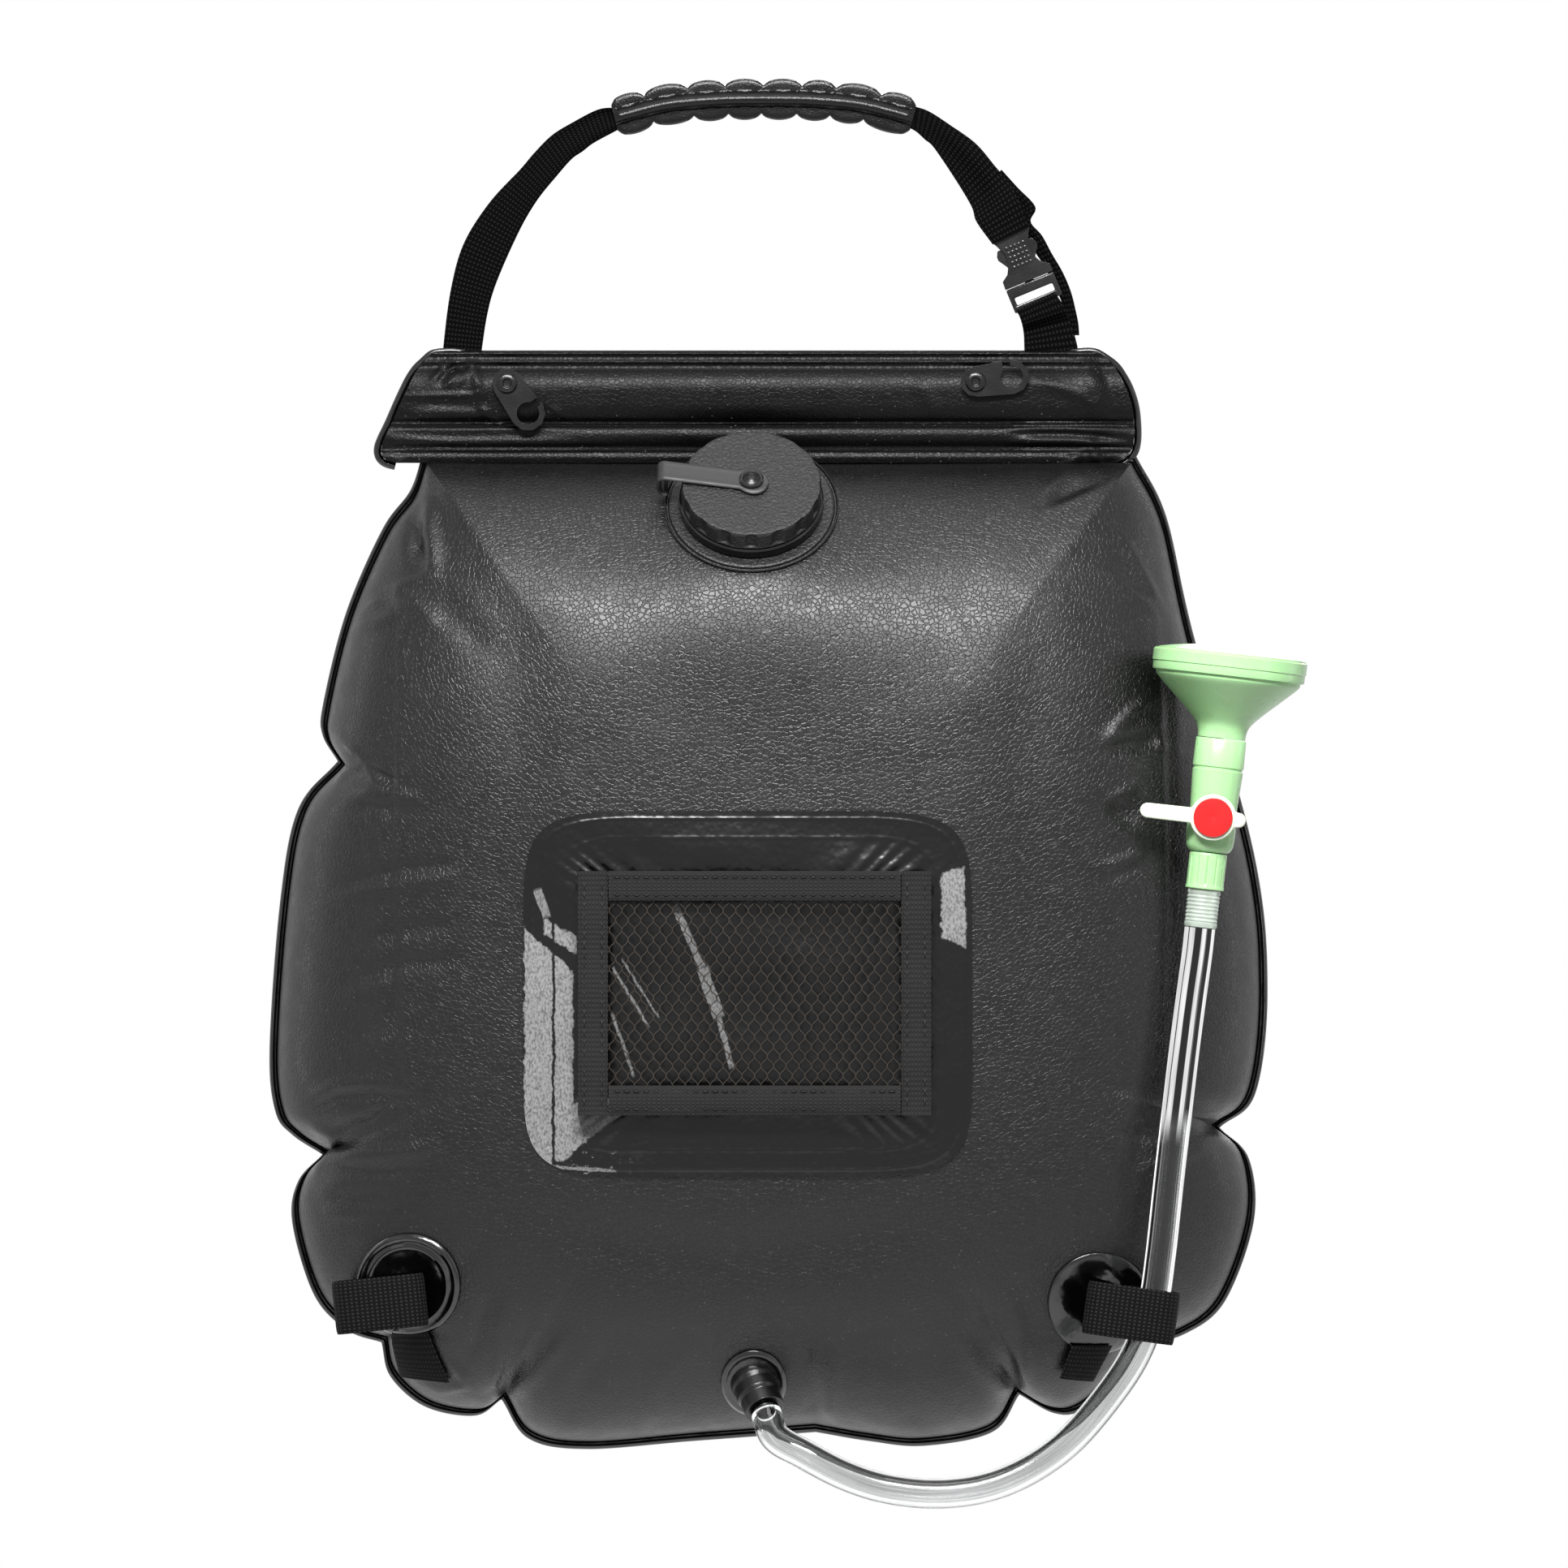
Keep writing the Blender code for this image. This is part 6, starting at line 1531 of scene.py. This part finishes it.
def make_filler():
    flange = ((0.0238, 0.0002), (0.0354, 0.0002), (0.0357, 0.0006), (0.0357, 0.0013), (0.0353, 0.0017),
              (0.0350, 0.0012),
              (0.0348, 0.0004), (0.0341, 0.0004), (0.0338, 0.0014), (0.0330, 0.0017), (0.0240, 0.0016))
    spun("flange", flange, RING, "bag", ("filler_flange",), NECK, 0.0002, 128)
    level = np.linspace(0.0072, 0.0112, 40)
    thread = joined(0.0235 - 0.0002 + 0.0008 * np.maximum(np.sin((level - 0.0072) * math.tau / 0.0026), 0),
                    level)[::-1]
    top = COLLAR_LOW + 0.0045
    neck = np.vstack([[(0.0205, NECK_RISE), (0.0232, NECK_RISE)], thread,
                      [(0.0234, top), (0.0288, top), (0.0295, top - 0.0006), (0.0295, COLLAR_LOW + 0.0004),
                       (0.0291, COLLAR_LOW), (0.0235, COLLAR_LOW), (0.0235, -0.0090), (0.0205, -0.0090)]])
    spun("neck", neck, BLACK, "bag", ("filler_neck",), NECK, 0, 128)
    gasket = ((0.0205, NECK_RISE + GAP), (0.0242, NECK_RISE + GAP), (0.0242, NECK_RISE + GAP + 0.0012),
              (0.0205, NECK_RISE + GAP + 0.0012))
    spun("gasket", gasket, RUBBER, "filler_cap", ("cap_gasket",), NECK, 0.0003)

    def grips(turn, profile):
        outside = ease((profile[..., 0] - 0.0262) / 0.0010)
        level = profile[..., 1]
        side = ease((CAP_TOP - 0.0002 - level) / 0.0012) * ease((level - SKIRT_FOOT - 0.0006) / 0.0006)
        dip = np.maximum(np.cos(turn * FINGER_GRIPS), 0) ** 0.8
        return 1 - 0.040 * dip * outside * (0.25 + 0.75 * side)

    steps = np.linspace(SKIRT_FOOT + 0.0008, CAP_TOP - 0.0016, 16)
    side = joined(np.full_like(steps, 0.0286), steps)
    cap = np.vstack([[(0.0032, CAP_TOP), (0.0032, CAP_INSIDE), (0.0245, CAP_INSIDE), (0.0245, SKIRT_FOOT),
                      (0.0280, SKIRT_FOOT), (0.0287, SKIRT_FOOT + 0.0004)], side,
                     [(0.0285, CAP_TOP - 0.0006), (0.0282, CAP_TOP - 0.0001), (0.0278, CAP_TOP),
                      (0.0270, CAP_TOP)]])
    spun("cap", cap, RING, "filler_cap", ("filler_cap",), NECK, 0, 256, grips)
    make_tether()
    arm_top = CAP_TOP + GAP + 0.0014
    foot = arm_top + GAP
    pin = ((0, foot + 0.0014), (0.0012, foot + 0.0013), (0.0024, foot + 0.0008), (0.0031, foot + 0.0005),
           (0.0036, foot + 0.0012), (0.0044, foot + 0.0013), (0.0050, foot + 0.0006), (0.0050, foot),
           (0.0015, foot), (0.0015, CAP_INSIDE + GAP), (0, CAP_INSIDE + GAP))
    spun("cap_pin", pin, BLACK, "cap_tether", ("tether_rivet",), NECK, 0.0001)


make_filler()

# %% [markdown]
# The window is a film welded to the front. It follows the panel and its creases, stands off a little, and
# has two weld lines that run round it. Short waves near its edge break up what it mirrors.

# %% Window
WINDOW_LOW = spots((647, 1445))
WINDOW_HIGH = spots((1196, 999))


def make_window():
    turn = turns(320)
    unit_x = np.sign(np.cos(turn)) * np.abs(np.cos(turn)) ** (2 / 7.0)
    unit_z = np.sign(np.sin(turn)) * np.abs(np.sin(turn)) ** (2 / 7.0)
    share = np.sin(np.linspace(0, math.pi / 2, 90))[:, None]
    middle = (WINDOW_LOW + WINDOW_HIGH) / 2
    half = (WINDOW_HIGH - WINDOW_LOW) / 2
    x = middle[0] + share * unit_x * half[0]
    z = middle[1] + share * unit_z * half[1]
    inside = np.minimum(half[0] - np.abs(x - middle[0]), half[1] - np.abs(z - middle[1])) + 0 * share
    inside = np.minimum(inside, (1 - share) * 0.080)
    weld = 0.0002 * bell((inside - 0.0030) / 0.0006) + 0.0002 * bell((inside - 0.0108) / 0.0005)
    ripple = 0.00022 * np.sin(turn * 31 + 2 * np.sin(turn * 5)) * bell((inside - 0.019) / 0.007)
    swell = 0.0008 * np.sin(x * 70 + z * 55) * np.sin(z * 83 - x * 30) * ease(inside / 0.02)
    stand = 0.0013 + relief(x, z) + weld + ripple + swell
    top = on_front(x, z, stand)
    under = on_front(x, z, stand - 0.0005 - weld)
    return surface("window", np.vstack([top, under[::-1]]), FILM, "bag", ("window_film",), around=True)


make_window()

# %% [markdown]
# The pocket is a net of zigzag threads that meet at knots, so that the gaps between them are tall
# diamonds. Folded bindings frame it, and each carries two rows of stitches. Every stitch is a short cord
# that rises out of the cloth in its middle.

# %% Pocket
NET_FRONT = -(HALF_DEPTH + 0.0008 + 0.0005 + 0.0050) - 0.0008
BINDING_BACK = NET_FRONT - GAP
BINDING_FRONT = BINDING_BACK - 0.0012
BINDING_WIDTH = 0.0122
NET_COLUMNS = 48
NET_ROWS = 10
NET_THREAD = 0.00023
POCKET_LEFT, POCKET_TOP = spots((714, 1072))
POCKET_RIGHT, POCKET_BOTTOM = spots((1146, 1370))


def make_net():
    left, right = POCKET_LEFT + BINDING_WIDTH - 0.002, POCKET_RIGHT - BINDING_WIDTH + 0.002
    low, high = POCKET_BOTTOM + BINDING_WIDTH - 0.002, POCKET_TOP - BINDING_WIDTH + 0.002
    columns, rows = NET_COLUMNS, NET_ROWS
    cell = (right - left) / columns
    t = np.linspace(0, rows, rows * 10 + 1)
    swing = np.tanh(0.9 * np.sin(t * math.tau)) / np.tanh(0.9) * 0.97
    grids = []
    for column in range(columns):
        sign = -1 if column % 2 else 1
        x = left + cell * (column + 0.5) + sign * swing * cell * 0.5
        z = low + (high - low) * t / rows
        lift = 0.0010 * np.sin(math.pi * t / rows) * math.sin(math.pi * (column + 0.5) / columns)
        y = NET_FRONT + 0.0006 - lift + 0.00012 * sign
        grids.append(tube_grid(joined(x, y, z), NET_THREAD, 6))
    return surface("net_threads", grids, NET, "bag", ("pocket_net",), around=True, ends=True)


def stitches(name, lines, body, pitch=0.0040, length=0.0029):
    """Rows of stitches, each line two ends of a row in the frame."""
    grids = []
    for first, last in lines:
        first, last = np.array(first, float), np.array(last, float)
        span = np.linalg.norm(last - first)
        way = (last - first) / span
        for start in np.arange(pitch / 2, span - length, pitch):
            t = np.linspace(0, 1, 6)
            path = first + way * (start + length * t[:, None])
            path[:, 1] += 0.0004 - 0.0006 * np.sin(t * math.pi)
            grids.append(tube_grid(path, 0.00034, 6, (0.3, 0.1, 1.0)))
    return surface(name, grids, THREAD, body, around=True, ends=True)


def binding(name, first, last, width_way, node):
    """A folded strip between two corners of the pocket's outer edge, with a gusset back to the film."""
    t = np.linspace(0, 1, 48)[:, None]
    edge = np.array(first) + (np.array(last) - np.array(first)) * t
    inner = edge + np.array(width_way) * BINDING_WIDTH
    wall = edge + np.array(width_way) * 0.0012
    back = np.minimum(front(edge[:, 0], edge[:, 1]), front(wall[:, 0], wall[:, 1])) - 0.0016
    sway = 0.0003 * np.sin(t[:, 0] * 21)
    face = BINDING_FRONT + sway
    across_it = inner - edge
    rows = [(edge, face + 0.0004), (edge + across_it * 0.06, face), (edge + across_it * 0.5, face - 0.0002),
            (edge + across_it * 0.94, face), (inner, face + 0.0005), (inner, BINDING_BACK),
            (wall, BINDING_BACK),
            (wall, back), (edge, back)]
    grid = np.stack([joined(at[:, 0], level, at[:, 1]) for at, level in rows], axis=1)
    return surface(name, grid, FOLDED, "bag", (node,), around=True, ends=True)


def make_bindings():
    left, right, low, top = POCKET_LEFT, POCKET_RIGHT, POCKET_BOTTOM, POCKET_TOP
    inner_left, inner_right = left + BINDING_WIDTH + GAP, right - BINDING_WIDTH - GAP
    binding("left_binding", (left, low), (left, top), (1, 0), "binding_left")
    binding("right_binding", (right, low), (right, top), (-1, 0), "binding_right")
    binding("bottom_binding", (inner_left, low), (inner_right, low), (0, 1), "binding_bottom")
    first = smooth([(inner_left, top), (inner_right, top)], 48)
    grid = band_grid(first, first - np.array([0, BINDING_WIDTH]), (BINDING_FRONT + BINDING_BACK) / 2,
                     0.0014)
    surface("top_binding", grid, FOLDED, "bag", ("binding_top",), around=True, ends=True)
    y = BINDING_FRONT - 0.0001
    lines = []
    for at in (0.0026, BINDING_WIDTH - 0.0024):
        lines.append(((left + at, y, low + 0.002), (left + at, y, top - 0.002)))
        lines.append(((right - at, y, low + 0.002), (right - at, y, top - 0.002)))
        lines.append(((inner_left, y, low + at), (inner_right, y, low + at)))
        lines.append(((inner_left, y - 0.0002, top - at), (inner_right, y - 0.0002, top - at)))
    stitches("pocket_stitches", lines, "bag")


make_net()
make_bindings()

# %% [markdown]
# Each bottom corner has a round patch, a loop of webbing for the hose and a short strap. Both patches are
# glossy welds that follow the panel. The left one has two raised rings.


# %% Corners
LOOP_HALF_DEPTH = 0.0085
LOOP_STRAIGHT = 0.0105
LOOP_HEIGHT = 0.0215


def disc_on_front(name, pixels, radius, paint, nodes, thickness=0.0010, rings=()):
    """A round patch on the panel. rings are raised lines: a share of the radius, a width and a height."""
    x, z = spots(pixels)
    turn = turns(128)
    share = np.sin(np.linspace(0, math.pi / 2, 48))[:, None]
    at_x = x + share * radius * np.cos(turn)
    at_z = z + share * radius * np.sin(turn)
    raised = 0 * at_x
    for place, width, rise in rings:
        raised = raised + rise * bell((share - place) / width)
    edge = np.sqrt(np.maximum(1 - share**16, 0.0))
    creased = 0.0008 + relief(at_x, at_z) * ease((1 - out_share(at_x, at_z)) / 0.05)
    top = on_front(at_x, at_z, creased + thickness * edge + raised)
    under = on_front(at_x, at_z, creased - 0.0010)
    return surface(name, np.vstack([top, under[::-1]]), paint, "bag", nodes, around=True)


def make_loop(name, pixels, lean, y, node):
    """A flat ring of webbing, open above and below for the hose. Its back lies on the panel."""
    x, z = spots(pixels)
    turn = turns(120)
    half_high = LOOP_HEIGHT / 2
    level = crowded(12) * LOOP_HEIGHT - half_high
    thick = WEBBING * strip_edge(level / half_high) / 2
    offset = np.concatenate([thick, -thick[::-1]]) - WEBBING / 2
    levels = np.concatenate([level, level[::-1]])
    radius = LOOP_HALF_DEPTH + offset[None] + 0 * turn[:, None]
    ring_x = radius * np.cos(turn)[:, None] + LOOP_STRAIGHT * np.tanh(np.cos(turn) * 6)[:, None]
    ring_y = radius * np.sin(turn)[:, None]
    grid = joined(ring_x, ring_y, levels[None] + 0 * ring_x)
    place = Matrix.Translation((x, y, z)) @ Matrix.Rotation(math.radians(lean), 4, "Y")
    behind = ease(ring_y / LOOP_HALF_DEPTH)
    grid = put(grid, place)
    short = front(grid[..., 0], grid[..., 2]) - 0.0022 - (y + LOOP_HALF_DEPTH)
    grid[..., 1] += np.maximum(short, 0) * behind
    return surface(name, grid, LOOPS, "bag", (node,), around=True, along=True)


def make_corner_strap(name, corners, stand, node):
    """A short band of webbing on the panel between four corners."""
    top_left, top_right, low_left, low_right = spots(corners)
    t = np.linspace(0, 1, 24)[:, None]
    left, right = top_left + (low_left - top_left) * t, top_right + (low_right - top_right) * t
    width = crowded(12)
    grid = left[:, None] + (right - left)[:, None] * width[None, :, None]
    edge = strip_edge(2 * width - 1) * WEBBING / 2
    middle = stand + WEBBING / 2 + relief(grid[..., 0], grid[..., 1]) * 0.6
    top = on_front(grid[..., 0], grid[..., 1], middle + edge)
    under = on_front(grid[..., 0], grid[..., 1], middle - edge)[:, ::-1]
    return surface(name, np.concatenate([top, under], axis=1), LOOPS, "bag", (node,), around=True,
                   ends=True)


RINGS = ((0.93, 0.05, 0.0007), (0.76, 0.035, 0.0005))
disc_on_front("left_weld", (506, 1578), 0.0212, TRIM, ("left_corner_patch",), 0.0010, RINGS)
disc_on_front("right_weld", (1352, 1600), 0.0208, TRIM, ("right_corner_patch",), 0.0010)
left_box, right_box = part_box("left_hose_loop"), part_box("right_hose_loop")
make_loop("left_loop", (471, 1601), -6, (left_box[0][1] + left_box[1][1]) / 2, "left_hose_loop")
make_loop("right_loop", (1391, 1612), 8, (right_box[0][1] + right_box[1][1]) / 2, "right_hose_loop")
make_corner_strap("left_strip", ((484, 1638), (530, 1635), (496, 1690), (556, 1696)), 0.0006,
                  "left_corner_strap")
make_corner_strap("right_strip", ((1316, 1650), (1364, 1650), (1302, 1688), (1342, 1692)), 0.0021,
                  "right_corner_strap")

# %% [markdown]
# The outlet is a round flange on the panel, a spout with a shoulder, and the barbed insert that the hose
# is pushed onto.


# %% Outlet
def make_outlet():
    place = outlet_place()
    disc_on_front("outlet_disc", (929, 1697), 0.0135, TRIM, ("outlet_flange",), 0.0010,
                  ((0.88, 0.06, 0.0004),))
    spout = ((0.0084, 0.0150), (0.0084, 0.0092), (0.0088, 0.0084), (0.0092, 0.0075), (0.0092, 0.0030),
             (0.0098, 0.0012),
             (0.0098, -0.0030), (0.0092, -0.0060), (0.0056, -0.0060), (0.0056, 0.0150))
    spun("spout", spout, BLACK, "bag", ("outlet_spout",), place, 0.0004)
    barb = ((0.0034, -0.0060), (0.0053, -0.0060), (0.0053, 0.0150), (0.0056, 0.0156), (0.0050, 0.0170),
            (0.0034, 0.0170))
    spun("barb", barb, BLACK, "bag", ("outlet_barb",), place, 0.0002)


make_outlet()

# %% [markdown]
# What is left of the CAD model is the rod in the header's tunnel, which the sheet hides. The floor lies
# well below the bag. It is white for rays from the camera and for reflected and refracted ones, and
# darker for the rest, which keeps its light off the bag's lower side.

# %% Floor and finish
frame["nodes"]["header_rod"].data.materials.clear()
frame["nodes"]["header_rod"].data.materials.append(BLACK.material)
pale = Paint("floor", even(0.86), 0.9)
direct = sum(pale.add("LightPath", {}, {}, ray) for ray in ("Is Camera Ray", "Is Glossy Ray",
        "Is Transmission Ray"))
pale.feed("Base Color", pale.mix(direct, even(0.28), even(0.86)))
pale.feed("Emission Color", pale.mix(direct, even(0.0), even(0.74)))
pale.feed("Emission Strength", 1.0)
pale.bump(pale.noise(pale.where(), 40.0, 2.0), 0.0005)
floor_mesh = bpy.data.meshes.new("floor")
REACH = 3.0
corners = [(x * REACH, y * REACH, -1.2) for x, y in ((-1, -1), (1, -1), (1, 1), (-1, 1))]
floor_mesh.from_pydata(corners, [], [(0, 1, 2, 3)])
floor_mesh.materials.append(pale.material)
floor = bpy.data.objects.new("floor", floor_mesh)
bpy.context.collection.objects.link(floor)
